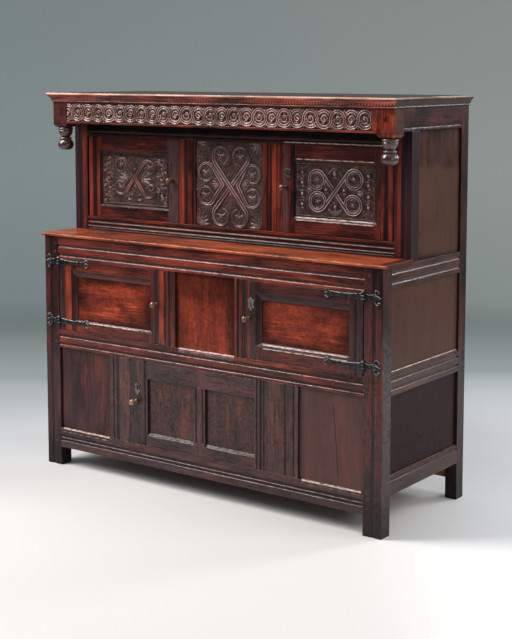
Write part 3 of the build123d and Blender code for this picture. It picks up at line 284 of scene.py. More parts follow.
def oak(name, grain, tones, seed, wear=0.6, figure=2.3, uprights=(), face=None, rubbed=(),
        mark=None, polish=0.8, rub_and_highlight=None):
    """One oak finish: tones are the deep, body and warm colours. Face is the y of the stick's
    face, and what lies just behind it counts as a hollow. Rubbed are spans of x that wear has
    turned to the warm tone, mark draws the part's own marks over the colour, painted highlights
    and painted shade among them. Given a tone for the tops, the finish is a carved one: by the
    piece's own rise, its ground is painted dark as shade and its tops are painted towards that
    tone, as wear with a painted highlight. Polish above 0.8 is waxed hard, and below it the faces
    that look down are left dull."""
    made = bpy.data.materials.new(name)
    g = bare_graph(made)
    given = {"Place": grain_place(g, grain, uprights), "Seed": seed, "Wear": wear,
             "Figure": figure, "Grime": NOOK_SHADE_AND_GRIME, "Bump": GRAIN_RELIEF,
             "Arris": CARVED_ARRIS if rub_and_highlight else WORN_ARRIS}
    given.update(zip(("Deep", "Body", "Warm"), tones))
    if face:
        below = g.place()[1] - face
        given["Sunk"] = g.span(below, 0.0006, 0.0022) * g.span(below, 0.0055, 0.0035, 0.45, 1.0)
    if rubbed:
        given["Glow"] = rubbed_bands(g, rubbed)
    wood = g.put("Group", given, node_tree=OAK).outputs
    normal = wood["Normal"]
    colour = mark(g, wood["Color"]) if mark else wood["Color"]
    waxed = polish > WAXED
    gloss = polish
    if rub_and_highlight:
        rise = g.out("Attribute", output="Fac", attribute_name="rise")
        colour = carved_shade_and_highlight(g, colour, rise, rub_and_highlight)
        gloss = g.span(rise, 0.25, 0.7, 0.08, 1.0)
    elif not waxed:
        gloss = g.span(g.split(normal)[2], -0.5, -0.1, 0.1 * polish, polish) * wood["Polish"]
    shader = g.out("BsdfPrincipled", {
        "Base Color": colour, "Roughness": wood["Roughness"], "Normal": normal,
        "Specular IOR Level": 0.4 if waxed else min(0.12, 0.4 * polish),
        "Coat Weight": gloss, "Coat Roughness": 0.12, "Coat Normal": normal,
        "Coat IOR": 1.5 if rub_and_highlight or waxed else 1.36})
    g.put("OutputMaterial", {0: shader})
    return made


# ---- marks of single parts ----
FACE, UPPER_FACE, SIDE = -0.2825, -0.0985, 0.8
SHELF_HEIGHT, LINE_DEPTH, NICK_PITCH = 0.965, 0.014, 0.0125
# Painted highlight lines: height, half width, low and high end of each.
HIGHLIGHT_LINES = {
    "upper_top_rail": ((1.3505, 0.0028, 0.255, 0.70),),
    "upper_right_door": ((1.2900, 0.0026, 0.31, 0.65), (1.0760, 0.0034, 0.31, 0.65),
                         (1.0655, 0.0030, 0.31, 0.65)),
    "upper_left_door": ((1.0720, 0.0022, -0.65, -0.50),),
    "middle_left_door": ((0.6205, 0.0030, -0.63, -0.245), (0.6070, 0.0022, -0.60, -0.30)),
    "middle_right_door": ((0.6240, 0.0034, 0.29, 0.66), (0.6110, 0.0026, 0.29, 0.66)),
    "lower_door": ((0.2120, 0.0026, -0.23, -0.03), (0.2120, 0.0026, 0.03, 0.25)),
    "bottom_rail": ((0.1545, 0.0040, -0.72, -0.46), (0.1520, 0.0040, 0.46, 0.72)),
    "middle_rail": ((0.5630, 0.0040, -0.115, 0.165),),
    "side_rails": ((0.5790, 0.0026, -0.22, 0.26),),
}


def rubbed_bands(g, spans):
    """1 inside any of the spans of x, patchy along the height."""
    x, _, z = g.place()
    inside = 0.0
    for low, high in spans:
        edge = g.span(x, low - 0.001, low + 0.002) * g.span(x, high + 0.001, high - 0.002)
        inside = g.larger(inside, edge)
    patch = g.noise(g.join(x * 30.0, 0.0, z * 9.0))
    return inside * g.span(patch, 0.3, 0.6, 0.25, 0.9)


def line_mark(g, along, across, start, slope, half, ends):
    """1 on a thin wavering line: across = start + slope along, between two ends of along."""
    waver = (g.noise(g.join(along), scale=38) - 0.5) * 0.006
    line = along * slope + (waver + start)
    low, high = ends
    shown = g.span(along, low, low + 0.04) * g.span(along, high, high - 0.04)
    return g.span(abs(across - line), half, 0.3 * half) * shown


def painted_highlight_lines(g, colour, lines, axis=0):
    """Painted highlights along arrises, in broken strokes: lines of (height, half width, low, high
    end). Only what lies less than 14 mm behind the outer face gets them."""
    x, y, z = g.place()
    along = y if axis else x
    strokes = g.noise(g.join(along * 48.0, 0.0, z * 260.0), detail=4, rough=0.7)
    share = 0.0
    for height, half, low, high in lines:
        ends = g.span(along, low, low + 0.01) * g.span(along, high, high - 0.01)
        share = g.larger(share, g.span(abs(z - height), half, 0.5 * half) * ends)
    if axis:
        outer = g.math("GREATER_THAN", abs(x), SIDE - LINE_DEPTH)
    else:
        face = g.span(z, SHELF_HEIGHT, SHELF_HEIGHT + 0.005, FACE + LINE_DEPTH,
                      UPPER_FACE + LINE_DEPTH)
        outer = g.math("LESS_THAN", y, face)
    return g.mix(share * outer * g.span(strokes, 0.4, 0.56, 0.1, 0.95), colour, (0.8, 0.58, 0.53))


def rail_highlights(node, axis=0):
    """Mark for a rail with only its painted highlight lines."""
    return lambda g, colour: painted_highlight_lines(g, colour, HIGHLIGHT_LINES[node], axis)


def dulled(spans, tone, lines):
    """Mark for door stiles gone grey-brown inside the spans of x, with the door's painted
    highlight lines.
    """
    def mark(g, colour):
        fibre = g.noise(g.vector("MULTIPLY", g.point(), (280, 280, 17)), detail=4, rough=0.7)
        share = inside_spans(g, g.place()[0], spans) * g.span(fibre, 0.38, 0.6, 0.25, 0.85)
        return painted_highlight_lines(g, g.mix(share, colour, tone), lines)
    return mark


def lit_field(node, low, high, drop=0.0):
    """Mark for a panel with painted light: bright inside, mottled, and falling to painted shade
    along its edges. With u and v the places across and up the panel from -1 to 1, the colour is
    multiplied by a number that goes from high to low as max(|u|, |v + drop|) grows."""
    (x0, _, z0), (x1, _, z1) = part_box(node)

    def mark(g, colour):
        x, _, z = g.place()
        u = (x - (x0 + x1) / 2) / ((x1 - x0) / 2)
        v = (z - (z0 + z1) / 2) / ((z1 - z0) / 2) + drop
        d = g.larger(abs(u), abs(v)) + g.wander(11, 0.6, 4)
        mottle = g.noise(g.point(), scale=75, detail=4, rough=0.65)
        colour = g.times(colour, g.span(mottle, 0.36, 0.64, 0.78, 1.24))
        return g.times(colour, g.span(d, 0.55, 1.02, high, low))
    return mark


def shrinkage_crack(g, colour):
    """The right-hand lower panel is bleached a little, with a long crack down it."""
    x, _, z = g.place()
    colour = g.mix(g.span(x, 0.2, 0.4, 0.0, 0.55), colour, (0.125, 0.06, 0.055))
    crack = line_mark(g, z, x, 0.6352, -0.0895, 0.0024, (0.16, 0.46))
    return g.mix(crack * 0.9, colour, (0.006, 0.003, 0.003))


def nicked_bead(g, colour):
    """Close upright nicks along the cornice above the bead, a painted highlight along the top
    fillet, and painted shade on the right-hand end.
    """
    x, y, z = g.place()
    run = x + y
    nick = g.span(g.math("SINE", run * (math.tau / NICK_PITCH)), 0.0, 0.6)
    row = g.span(z, 1.4905, 1.4925) * g.span(z, 1.5045, 1.5025)
    colour = g.mix(nick * row * g.span(x, -0.66, -0.6) * 0.75, colour, (0.014, 0.005, 0.004))
    # Painted shade on the right-hand end.
    end = g.span(run, 0.5765, 0.5785)
    colour = g.mix(end * 0.9, colour, (0.014, 0.006, 0.007))
    # Painted highlight along the top fillet.
    patch = g.span(g.noise(g.point(), scale=7), 0.32, 0.55, 0.35, 0.95)
    pale = g.span(z, 1.5155, 1.5185) * patch * g.span(g.split(g.normal())[2], 0.9, 0.6)
    return g.mix(pale * (1.0 - end * 0.5), colour, (0.88, 0.62, 0.48))


def painted_side_sheen(g, colour):
    """A painted sheen, grey-brown as a reflection, on the middle panel and on the upper one below a
    wavering line under the top, with its board joint; the low panel stays dark."""
    _, y, z = g.place()
    # Painted reflection: the grey-brown sheen, bounded by a wavering line.
    edge = z + y * 0.08 + g.wander(14, 0.05)
    painted_sheen = g.larger(g.span(edge, 1.295, 1.262) * g.span(edge, 0.95, 0.97),
                     g.span(z, 0.9, 0.89) * g.span(z, 0.55, 0.6))
    colour = g.mix(painted_sheen * 0.6, colour, (0.104, 0.05, 0.038))
    colour = g.mix(g.span(z, 0.55, 0.5, 0.0, 0.92), colour, (0.017, 0.005, 0.005))
    joint = line_mark(g, z, y, -0.0345, 0.0, 0.0018, (0.93, 1.45))
    return g.mix(joint * 0.85, colour, (0.008, 0.004, 0.004))


def shaded_head(g, colour):
    """Painted shadow of the canopy: the head of the rail that hides under it is painted nearly
    black, and it gets its painted highlight line.
    """
    # Painted shadow of the canopy.
    edge = g.place()[2] + g.wander(9, 0.02)
    colour = g.mix(g.span(edge, 1.358, 1.376, 0.25, 0.93), colour, (0.004, 0.003, 0.003))
    return painted_highlight_lines(g, colour, HIGHLIGHT_LINES["upper_top_rail"])


def greyed_and_shaded_foot(g, colour):
    """Posts go grey towards the floor, and nearest it they are painted nearly black as shade."""
    height = g.place()[2] + g.wander(12, 0.12, 4)
    colour = g.mix(g.span(height, 0.62, 0.35, 0.0, 0.45), colour, (0.04, 0.026, 0.028))
    # Painted shade at the foot.
    return g.mix(g.span(height, 0.19, 0.07, 0.0, 0.75), colour, (0.009, 0.006, 0.006))


def stile_with_shaded_flanks(g, colour):
    """Darker outer reeds on the upper stiles, and painted shade, nearly black, on the flanks under
    the canopy.
    """
    x, y, _ = g.place()
    colour = g.mix(g.span(abs(x), 0.757, 0.7595) * 0.78, colour, (0.024, 0.013, 0.016))
    # Painted shade on the flanks.
    return g.mix(g.span(y, -0.0905, -0.0885) * 0.85, colour, (0.022, 0.008, 0.008))


def shaded_end(g, colour):
    """The shelf grows brighter towards the right. Its end beside the upper case, behind the
    front edge, is painted dark as shade."""
    x, y, _ = g.place()
    colour = g.times(colour, g.span(x, -0.7, 0.6, 0.94, 1.2))
    # Painted shade on the end beside the upper case.
    end = g.span(x, 0.766, 0.782) * g.span(y, -0.283, -0.268)
    return g.mix(end * 0.85, colour, (0.03, 0.01, 0.009))


def blotched_block_with_shaded_flank(g, colour):
    """Corner blocks: blotched bright red on the right-hand face, dark on the left one, and painted
    dark as shade on the flanks.
    """
    x = g.place()[0]
    blot = g.noise(g.point(), scale=34, detail=4)
    colour = g.times(colour, g.span(blot, 0.45, 0.62, 1.6, 0.55))
    # Painted shade on the flanks; the left block is darker.
    dark = g.larger(g.span(x, 0.02, 0.0), g.span(x, 0.799, 0.7997))
    return g.mix(dark * 0.75, colour, (0.024, 0.013, 0.015))


def iron(name, seed, plate=None, sheen=0.25):
    """Blackened wrought iron with a little rust, brighter arrises from wear and a painted highlight,
    near white, along the upper edges. In front of the place y = plate it is thin sheet, rubbed grey
    to the given sheen."""
    made = bpy.data.materials.new(name)
    g = bare_graph(made)
    spot = g.vector("ADD", g.point(), (seed, seed * 0.7, seed * 0.3))
    mottle = g.noise(spot, scale=90, detail=4, rough=0.65)
    rust = g.noise(spot, scale=28, detail=5, rough=0.7)
    colour = g.mix(g.span(mottle, 0.35, 0.7), (0.007, 0.007, 0.008), (0.05, 0.048, 0.05))
    colour = g.mix(g.span(rust, 0.58, 0.72) * 0.5, colour, (0.06, 0.018, 0.008))
    bright = 0.85
    if plate:
        bright = 0.3
        sheet = g.math("LESS_THAN", g.place()[1], plate - 0.0002)
        grey = (sheen, 0.85 * sheen, 0.8 * sheen)
        rubbed = g.mix(g.span(rust, 0.38, 0.6), (0.055, 0.04, 0.038), grey)
        colour = g.mix(sheet * 0.85, colour, rubbed)
    edge = g.out("AmbientOcclusion", {"Distance": 0.002}, "AO", samples=6, inside=True,
                 only_local=True)
    colour = g.mix(g.span(edge, 0.8, 0.35) * (0.7 * bright), colour, (0.3, 0.29, 0.29))
    # Painted highlight along the upper edges.
    turned = g.out("Bevel", {"Radius": 0.0032}, samples=8)
    painted_glint = g.span(g.split(turned)[2], 0.02, 0.14) * g.span(mottle, 0.38, 0.56)
    colour = g.mix(painted_glint * bright, colour, (0.7, 0.68, 0.68))
    relief = g.out("Bump", {
        "Strength": 0.9, "Distance": 0.0018, "Height": g.noise(spot, scale=190, rough=0.6),
        "Normal": g.out("Bevel", {"Radius": 0.0008}, samples=6)})
    shader = g.out("BsdfPrincipled", {
        "Metallic": 0.6, "Base Color": colour, "Roughness": g.span(mottle, 0.3, 0.7, 0.22, 0.5),
        "Normal": relief})
    g.put("OutputMaterial", {0: shader})
    return made


# ---- finishes ----
# The deep, body and warm tone of each kind of stick.
FRAME_TONES = ((0.014, 0.007, 0.008), (0.066, 0.019, 0.019), (0.22, 0.034, 0.022))
RAIL_TONES = ((0.020, 0.007, 0.007), (0.120, 0.022, 0.016), (0.36, 0.055, 0.022))
LOWER_TONES = ((0.022, 0.011, 0.012), (0.072, 0.029, 0.029), (0.20, 0.040, 0.030))
RED_TONES = ((0.045, 0.009, 0.006), (0.180, 0.027, 0.013), (0.36, 0.058, 0.020))
SOOT_TONES = ((0.020, 0.013, 0.014), (0.072, 0.037, 0.037), (0.17, 0.048, 0.040))
DARK_TONES = ((0.010, 0.005, 0.006), (0.044, 0.012, 0.013), (0.13, 0.026, 0.020))
DOOR_TONES = ((0.016, 0.007, 0.008), (0.085, 0.019, 0.018), (0.30, 0.045, 0.026))
SIDE_TONES = ((0.026, 0.012, 0.010), (0.072, 0.034, 0.028), (0.11, 0.045, 0.033))
SHELF_TONES = ((0.10, 0.016, 0.006), (0.38, 0.064, 0.020), (0.68, 0.18, 0.065))
CORNICE_TONES = ((0.034, 0.010, 0.010), (0.44, 0.092, 0.064), (0.80, 0.25, 0.16))
PENDANT_TONES = ((0.008, 0.005, 0.005), (0.040, 0.013, 0.012), (0.12, 0.035, 0.028))
CARVED_TONES = ((0.016, 0.007, 0.006), (0.080, 0.028, 0.023), (0.22, 0.060, 0.046))
INNER_TONES = ((0.095, 0.050, 0.028), (0.150, 0.080, 0.043), (0.21, 0.115, 0.06))
WAIST_TONES = ((0.024, 0.008, 0.008), (0.155, 0.028, 0.020), (0.42, 0.066, 0.028))
KNOB_TONES = ((0.09, 0.030, 0.013), (0.27, 0.11, 0.052), (0.48, 0.25, 0.14))
DARK_KNOB_TONES = ((0.03, 0.010, 0.007), (0.13, 0.035, 0.022), (0.28, 0.09, 0.06))
GREYED = {"upper": (0.092, 0.058, 0.060), "middle": (0.040, 0.024, 0.025),
          "lower": (0.07, 0.04, 0.04)}

# The axis of the grain, the tones and the seed of each fixed part.
FINISHES = {
    "front_post_left": ("z", FRAME_TONES, 1.1), "front_post_right": ("z", FRAME_TONES, 2.3),
    "rear_post_left": ("z", DARK_TONES, 3.7), "rear_post_right": ("z", DARK_TONES, 4.9),
    "bottom_rail": ("x", SOOT_TONES, 5.2), "middle_rail": ("x", RAIL_TONES, 6.4),
    "waist_rail": ("x", WAIST_TONES, 7.6), "lower_muntins": ("z", SOOT_TONES, 8.1),
    "hinge_jamb": ("z", SOOT_TONES, 8.9), "middle_muntins": ("z", FRAME_TONES, 9.4),
    "lower_panels": ("z", LOWER_TONES, 10.2), "middle_panel": ("z", RED_TONES, 11.3),
    "side_rails": ("y", SIDE_TONES, 12.1), "side_panels": ("z", SIDE_TONES, 13.6),
    "rear_rails": ("x", INNER_TONES, 14.2), "back_boards": ("z", INNER_TONES, 15.8),
    "floor_boards": ("y", INNER_TONES, 16.3), "shelf_boards": ("x", SHELF_TONES, 17.7),
    "upper_stile_left": ("z", FRAME_TONES, 18.2), "upper_stile_right": ("z", FRAME_TONES, 19.5),
    "upper_bottom_rail": ("x", RAIL_TONES, 20.4), "upper_top_rail": ("x", FRAME_TONES, 21.9),
    "upper_muntins": ("z", RAIL_TONES, 22.6), "upper_panel": ("z", CARVED_TONES, 23.4),
    "frieze_rail": ("x", RAIL_TONES, 24.8), "frieze_side_rails": ("y", DARK_TONES, 25.5),
    "corner_blocks": ("z", RED_TONES, 26.1), "pendants": ("z", PENDANT_TONES, 27.3),
    "cornice_moulding": ("x", CORNICE_TONES, 28.7), "top_boards": ("x", SIDE_TONES, 29.2),
    "oak_pegs": ("y", FRAME_TONES, 30.6), "door_stops": ("z", INNER_TONES, 31.4),
}
# The y of the face of the sticks with sunk mouldings.
HOLLOWED = {
    FACE: ("front_post_left", "front_post_right", "bottom_rail", "middle_rail", "waist_rail",
           "lower_muntins", "hinge_jamb", "middle_muntins"),
    UPPER_FACE: ("upper_stile_left", "upper_stile_right", "upper_bottom_rail", "upper_top_rail",
                 "upper_muntins"),
}
FACES = {node: face for face, nodes in HOLLOWED.items() for node in nodes}
RUBBED = {
    "upper_stile_left": ((-0.757, -0.742),), "upper_stile_right": ((0.742, 0.758),),
    "upper_muntins": ((-0.232, -0.219), (0.205, 0.224)), "middle_muntins": ((0.168, 0.176),),
}
MARKS = {
    "cornice_moulding": nicked_bead, "lower_panels": shrinkage_crack, "side_panels": painted_side_sheen,
    "upper_top_rail": shaded_head, "upper_stile_left": stile_with_shaded_flanks,
    "upper_stile_right": stile_with_shaded_flanks, "corner_blocks": blotched_block_with_shaded_flank, "shelf_boards": shaded_end,
    "front_post_left": greyed_and_shaded_foot, "front_post_right": greyed_and_shaded_foot, "rear_post_left": greyed_and_shaded_foot,
    "rear_post_right": greyed_and_shaded_foot, "bottom_rail": rail_highlights("bottom_rail"),
    "middle_rail": rail_highlights("middle_rail"), "side_rails": rail_highlights("side_rails", 1),
    "middle_panel": lit_field("middle_panel", 0.55, 1.35, 0.5),
}
POLISH = {
    "pendants": 1.0, "side_rails": 0.4, "side_panels": 0.12, "frieze_side_rails": 0.25,
    "rear_post_left": 0.3, "rear_post_right": 0.3, "lower_panels": 0.35, "middle_panel": 0.25,
    "shelf_boards": 0.3, "front_post_left": 0.45, "upper_stile_left": 0.6,
    "upper_stile_right": 0.5, "upper_bottom_rail": 0.5, "top_boards": 0.12,
}
FIGURE = {
    "side_panels": 1.2, "side_rails": 1.8, "frieze_side_rails": 1.8, "lower_panels": 1.4,
    "lower_muntins": 1.8, "bottom_rail": 1.9, "cornice_moulding": 3.0, "middle_panel": 1.5,
}
WEAR = {
    "side_rails": 0.22, "side_panels": 0.2, "frieze_side_rails": 0.05, "bottom_rail": 0.9,
    "middle_rail": 0.9, "waist_rail": 0.85, "upper_bottom_rail": 0.32,
}


def dress(node, finish):
    """Give a solid its finish in place of the plain one that it comes with."""
    slots = NODES[node].data.materials
    slots.clear()
    slots.append(finish)


for node, (grain, tones, seed) in FINISHES.items():
    dress(node, oak(node.replace("_", " "), grain, tones, seed, WEAR.get(node, 0.6),
                    FIGURE.get(node, 2.3), face=FACES.get(node), rubbed=RUBBED.get(node, ()),
                    mark=MARKS.get(node), polish=POLISH.get(node, 0.8)))

# Of each door: frame tones, panel tones, seed, grain of the panel, then the spans of x with
# upright sticks, with rubbed stiles and with greyed ones.
DOORS = {
    "upper_left_door": (DOOR_TONES, CARVED_TONES, 40.1, "x", ((-0.735, -0.6535), (-0.3035, -0.240)),
                        ((-0.723, -0.702), (-0.678, -0.656)), ((-0.302, -0.246),)),
    "upper_right_door": (DOOR_TONES, CARVED_TONES, 43.7, "x", ((0.225, 0.3085), (0.6515, 0.735)),
                         ((0.228, 0.240), (0.709, 0.727)), ((0.254, 0.276),)),
    "middle_left_door": (RAIL_TONES, RED_TONES, 46.3, "x", ((-0.725, -0.627), (-0.2435, -0.16)),
                         ((-0.688, -0.657), (-0.195, -0.172)),
                         ((-0.725, -0.690), (-0.226, -0.197))),
    "middle_right_door": (FRAME_TONES, RED_TONES, 49.9, "x", ((0.20, 0.2885), (0.660, 0.725)),
                          ((0.226, 0.236),), ((0.204, 0.225), (0.238, 0.262), (0.684, 0.725))),
    "lower_door": (SOOT_TONES, LOWER_TONES, 52.4, "z",
                   ((-0.35, -0.2575), (-0.027, 0.027), (0.2575, 0.292)), (), ()),
}
FIELDS = {"middle_left_door": lit_field("middle_left_door_panel", 0.45, 1.45),
          "middle_right_door": lit_field("middle_right_door_panel", 0.35, 1.65, -0.1)}
for door, (frame_tones, panel_tones, seed, grain, uprights, rubbed, grey) in DOORS.items():
    label = door.replace("_", " ")
    shaded = door == "upper_left_door"
    storey = door.split("_")[0]
    dress(door + "_frame", oak(
        label + " frame", "x", frame_tones, seed, 0.35 if shaded else 0.6,
        1.6 if storey == "lower" else 2.3, uprights, UPPER_FACE if storey == "upper" else FACE,
        rubbed, dulled(grey, GREYED[storey], HIGHLIGHT_LINES[door])))
    dress(door + "_panel", oak(label + " panel", grain, panel_tones, seed + 0.9, figure=1.2,
                               mark=FIELDS.get(door), polish=0.25 if door in FIELDS else 0.8))
    dress(door + "_knob", oak(label + " knob", "y", DARK_KNOB_TONES if shaded else KNOB_TONES,
                              seed + 1.7, wear=0.9, polish=1.0))
dress("middle_left_door_catch", oak("turn button", "z", KNOB_TONES, 60.2))
IRONWORK = iron("wrought iron", 3.1)
UPPER_LOCK = iron("upper lock iron", 5.3, UPPER_FACE, 0.075)
LOWER_LOCK = iron("lower lock iron", 7.9, FACE)
for node in NODES:
    if node.endswith("_lock"):
        dress(node, UPPER_LOCK if node.startswith("upper") else LOWER_LOCK)
    elif node.endswith(("_bolt", "_straps", "pivot_pins", "hinge_leaves")):
        dress(node, IRONWORK)


# ---- carving ----
CARVING_STEP, FRIEZE_STEP, BEHIND = 0.0013, 0.0014, 0.001


def ease(value):
    """Smooth step: 3 t^2 - 2 t^3 of the value held between 0 and 1."""
    t = np.clip(value, 0.0, 1.0)
    return t * t * (3 - 2 * t)


def dome(d):
    """Height of a round ridge, sqrt(1 - d^2), and 0 outside it."""
    return np.sqrt(np.clip(1 - d * d, 0, 1))


def coil_arm(centre, start, onward, radius, coil=5.0, shrink=0.12, taper=0.45):
    """Coil (x, z, share) round a centre from the angle start, onward 1 to the left or -1 to the
    right: r(a) = radius (1 - shrink (0.83 f + (a / coil)^3)), share = (1 - taper f)
    (1 - 0.78 taper (a / coil)^2), f = 1 - e^(-(a / 0.6)^2)."""
    a = np.linspace(0, coil, 240)
    leaving = 1 - np.exp(-((a / 0.6) ** 2))
    reach = radius * (1 - shrink * (0.83 * leaving + (a / coil) ** 3))
    share = (1 - taper * leaving) * (1 - 0.78 * taper * (a / coil) ** 2)
    wound = start + onward * a
    x, z = centre
    return np.column_stack([x + reach * np.cos(wound), z + reach * np.sin(wound), share])


def scroll(first, second, radius, turns, **coil):
    """Path (x, z, share) of a scroll: a coil round each centre and between them the straight line
    that touches both circles. A turn is 1 where the way from first to second winds to the left,
    -1 to the right: equal turns give a C, others an S."""
    way = np.array(second, float) - np.array(first, float)
    lean = math.asin((turns[1] - turns[0]) * radius / np.hypot(*way))
    heading = math.atan2(way[1], way[0]) - lean
    begin = coil_arm(first, heading - turns[0] * math.pi / 2, -turns[0], radius, **coil)
    end = coil_arm(second, heading - turns[1] * math.pi / 2, turns[1], radius, **coil)
    return np.vstack([begin[::-1], np.linspace(begin[0], end[0], 150)[1:-1], end])


def bent_scroll(x, heights, knee, radius, side):
    """Path (x, z, share) of two coils one above the other whose straps meet in a knee. The strap
    leaves each circle where the line from the knee touches it; side is the knee's side of x."""
    paths = []
    for z, up in zip(heights, (1, -1)):
        way = np.array([x - knee[0], z - knee[1]])
        lean = math.acos(radius / np.hypot(*way))
        start = math.atan2(-way[1], -way[0]) + up * side * lean
        arm = coil_arm((x, z), start, up * side, radius)
        paths.append(np.vstack([arm[::-1], np.linspace(arm[0], [*knee, 1.0], 80)[1:]]))
    return np.vstack([paths[0], paths[1][::-1]])


def hook(x, z, radius, start, sweep):
    """Path (x, z, share) of a small curl round (x, z): at a share s of the sweep its radius is
    radius (1 - 0.6 s) and its width share 1 - 0.5 s."""
    s = np.linspace(0, 1, 60)
    angle = start + sweep * s
    reach = radius * (1 - 0.6 * s)
    return np.column_stack([x + reach * np.cos(angle), z + reach * np.sin(angle), 1 - 0.5 * s])


class Carving:
    """A carved field: rises from 0 at the ground to 1 at the top, on a grid over x and z."""

    def __init__(self, x0, x1, z0, z1, step):
        across = np.linspace(x0, x1, round((x1 - x0) / step) + 1)
        up = np.linspace(z0, z1, round((z1 - z0) / step) + 1)
        self.x, self.z = np.meshgrid(across, up)
        self.rise = np.zeros_like(self.x)

    def away(self, x, z):
        return np.hypot(self.x - x, self.z - z)

    def add(self, height):
        """Raise the field to a height wherever it is lower."""
        self.rise = np.maximum(self.rise, height)

    def strap(self, path, half, top=1.0):
        """A double-ridged strap that cuts through what lies below it, with t = distance from the
        path / half width there."""
        t = np.full(self.x.shape, 9.0)
        for x, z, share in path:
            np.minimum(t, self.away(x, z) / (half * share), out=t)
        self.lay(t, top)

    def ring(self, x, z, radius, half, top=1.0):
        """A double-ridged ring: t = |distance from the centre - radius| / half."""
        self.lay(abs(self.away(x, z) - radius) / half, top)

    def lay(self, t, top=1.0):
        """Cut a trench out to t = 1.35 and set two round ridges in it, with a groove between:
        rise = top max(0.3 ease(7 (1 - t)), sqrt(1 - ((t - 0.54) / 0.46)^2))."""
        self.rise = np.maximum(0.04, self.rise * ease((t - 1.0) * 2.9))
        self.add(top * np.maximum(0.3 * ease(7 * (1 - t)), dome((t - 0.54) / 0.46)))

    def boss(self, x, z, radius, top=0.9):
        """A round button: rise = top sqrt(1 - (d / radius)^2)."""
        self.add(top * dome(self.away(x, z) / radius))

    def leaf(self, x, z, angle, length, width, top=0.85):
        """A lens-shaped leaf with a cut vein, from (x, z) along angle: u runs along it, v across
        in widths w = 2 width sqrt(u (1 - u)), rise = top sqrt(1 - (v / w)^2) (1 - 0.7 vein)."""
        c, s = math.cos(angle), math.sin(angle)
        u = ((self.x - x) * c + (self.z - z) * s) / length
        v = (self.z - z) * c - (self.x - x) * s
        w = 2 * width * np.sqrt(np.clip(u * (1 - u), 0, 1)) + 1e-6
        vein = np.exp(-(v / (0.16 * width)) ** 2)
        self.add(top * dome(v / w) * (1 - 0.7 * vein))

    def fan(self, x, z, angle, spread, count, length, width):
        """Leaves spread evenly about an angle."""
        for turn in np.linspace(-spread / 2, spread / 2, count):
            self.leaf(x, z, angle + turn, length, width)

    def scales(self, size, top=0.76):
        """Ground of small overlapping scales, staggered row by row and swayed by slow waves, each
        rounded as 1 - 3.6 u^2 - 0.9 v^2 with u across and v up, and nowhere below 0.05."""
        x = self.x + 0.0022 * np.sin(97 * self.z) + 0.0016 * np.sin(211 * self.z + 55 * self.x)
        z = self.z + 0.0026 * np.sin(83 * self.x) + 0.0014 * np.sin(190 * self.x - 70 * self.z)
        row = np.floor(z / (0.6 * size))
        u = (x / size + 0.5 * (row % 2)) % 1 - 0.5
        v = z / (0.6 * size) - row - 0.2
        patch = 0.78 + 0.22 * np.sin(61 * self.x + 1.3) * np.sin(53 * self.z)
        scale = np.clip(1 - 3.6 * u * u - 0.9 * v * v, 0, 1)
        self.add(np.maximum(0.05, top * patch * scale))


def shown(name, data):
    """A new object in the scene."""
    made = bpy.data.objects.new(name, data)
    bpy.context.scene.collection.objects.link(made)
    return made


def carved_piece(name, body, field, ground, depth, finish):
    """The carved field as a closed slab: y = ground - depth * rise in front, flat 1 mm behind the
    ground, with skirts between; the rise is kept as an attribute."""
    rows, columns = field.x.shape
    rise = field.rise.copy()
    rise[[0, -1], :] = 0
    rise[:, [0, -1]] = 0
    front = np.stack([field.x, ground - depth * rise, field.z], -1).reshape(-1, 3)
    back = np.full(columns, ground + BEHIND)
    foot = np.column_stack([field.x[0], back, field.z[0]])
    head = np.column_stack([field.x[-1], back, field.z[-1]])
    index = np.arange(rows * columns).reshape(rows, columns)
    low = rows * columns + np.arange(columns)
    high = low + columns
    top = np.stack([index[:-1, :-1], index[:-1, 1:], index[1:, 1:], index[1:, :-1]], -1)
    top = top.reshape(-1, 4)
    quads = [top, np.stack([low[:-1], low[1:], index[0, 1:], index[0, :-1]], -1),
             np.stack([index[-1, :-1], index[-1, 1:], high[1:], high[:-1]], -1),
             np.stack([high[:-1], high[1:], low[1:], low[:-1]], -1)]
    sides = [np.stack([np.full(rows - 1, low[0]), index[:-1, 0], index[1:, 0]], -1),
             np.stack([np.full(rows - 1, low[-1]), index[1:, -1], index[:-1, -1]], -1),
             [[low[0], index[-1, 0], high[0]], [low[-1], high[-1], index[-1, -1]]]]
    mesh = bpy.data.meshes.new(name)
    faces = np.vstack(quads).tolist() + np.vstack(sides).tolist()
    mesh.from_pydata(np.vstack([front, foot, head]).tolist(), [], faces)
    kept = mesh.attributes.new("rise", "FLOAT", "POINT")
    kept.data.foreach_set("value", np.concatenate([rise.ravel(), np.zeros(2 * columns)]))
    mesh.polygons.foreach_set("use_smooth", np.arange(len(faces)) < len(top))
    mesh.materials.append(finish)
    piece = shown(name, mesh)
    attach(piece, body)


def rosette(field, x, z, petals, length, width):
    """Petals round a button."""
    for petal in range(petals):
        field.leaf(x, z, (petal + 0.3) * math.tau / petals, length, width)
    field.boss(x, z, 0.35 * length)


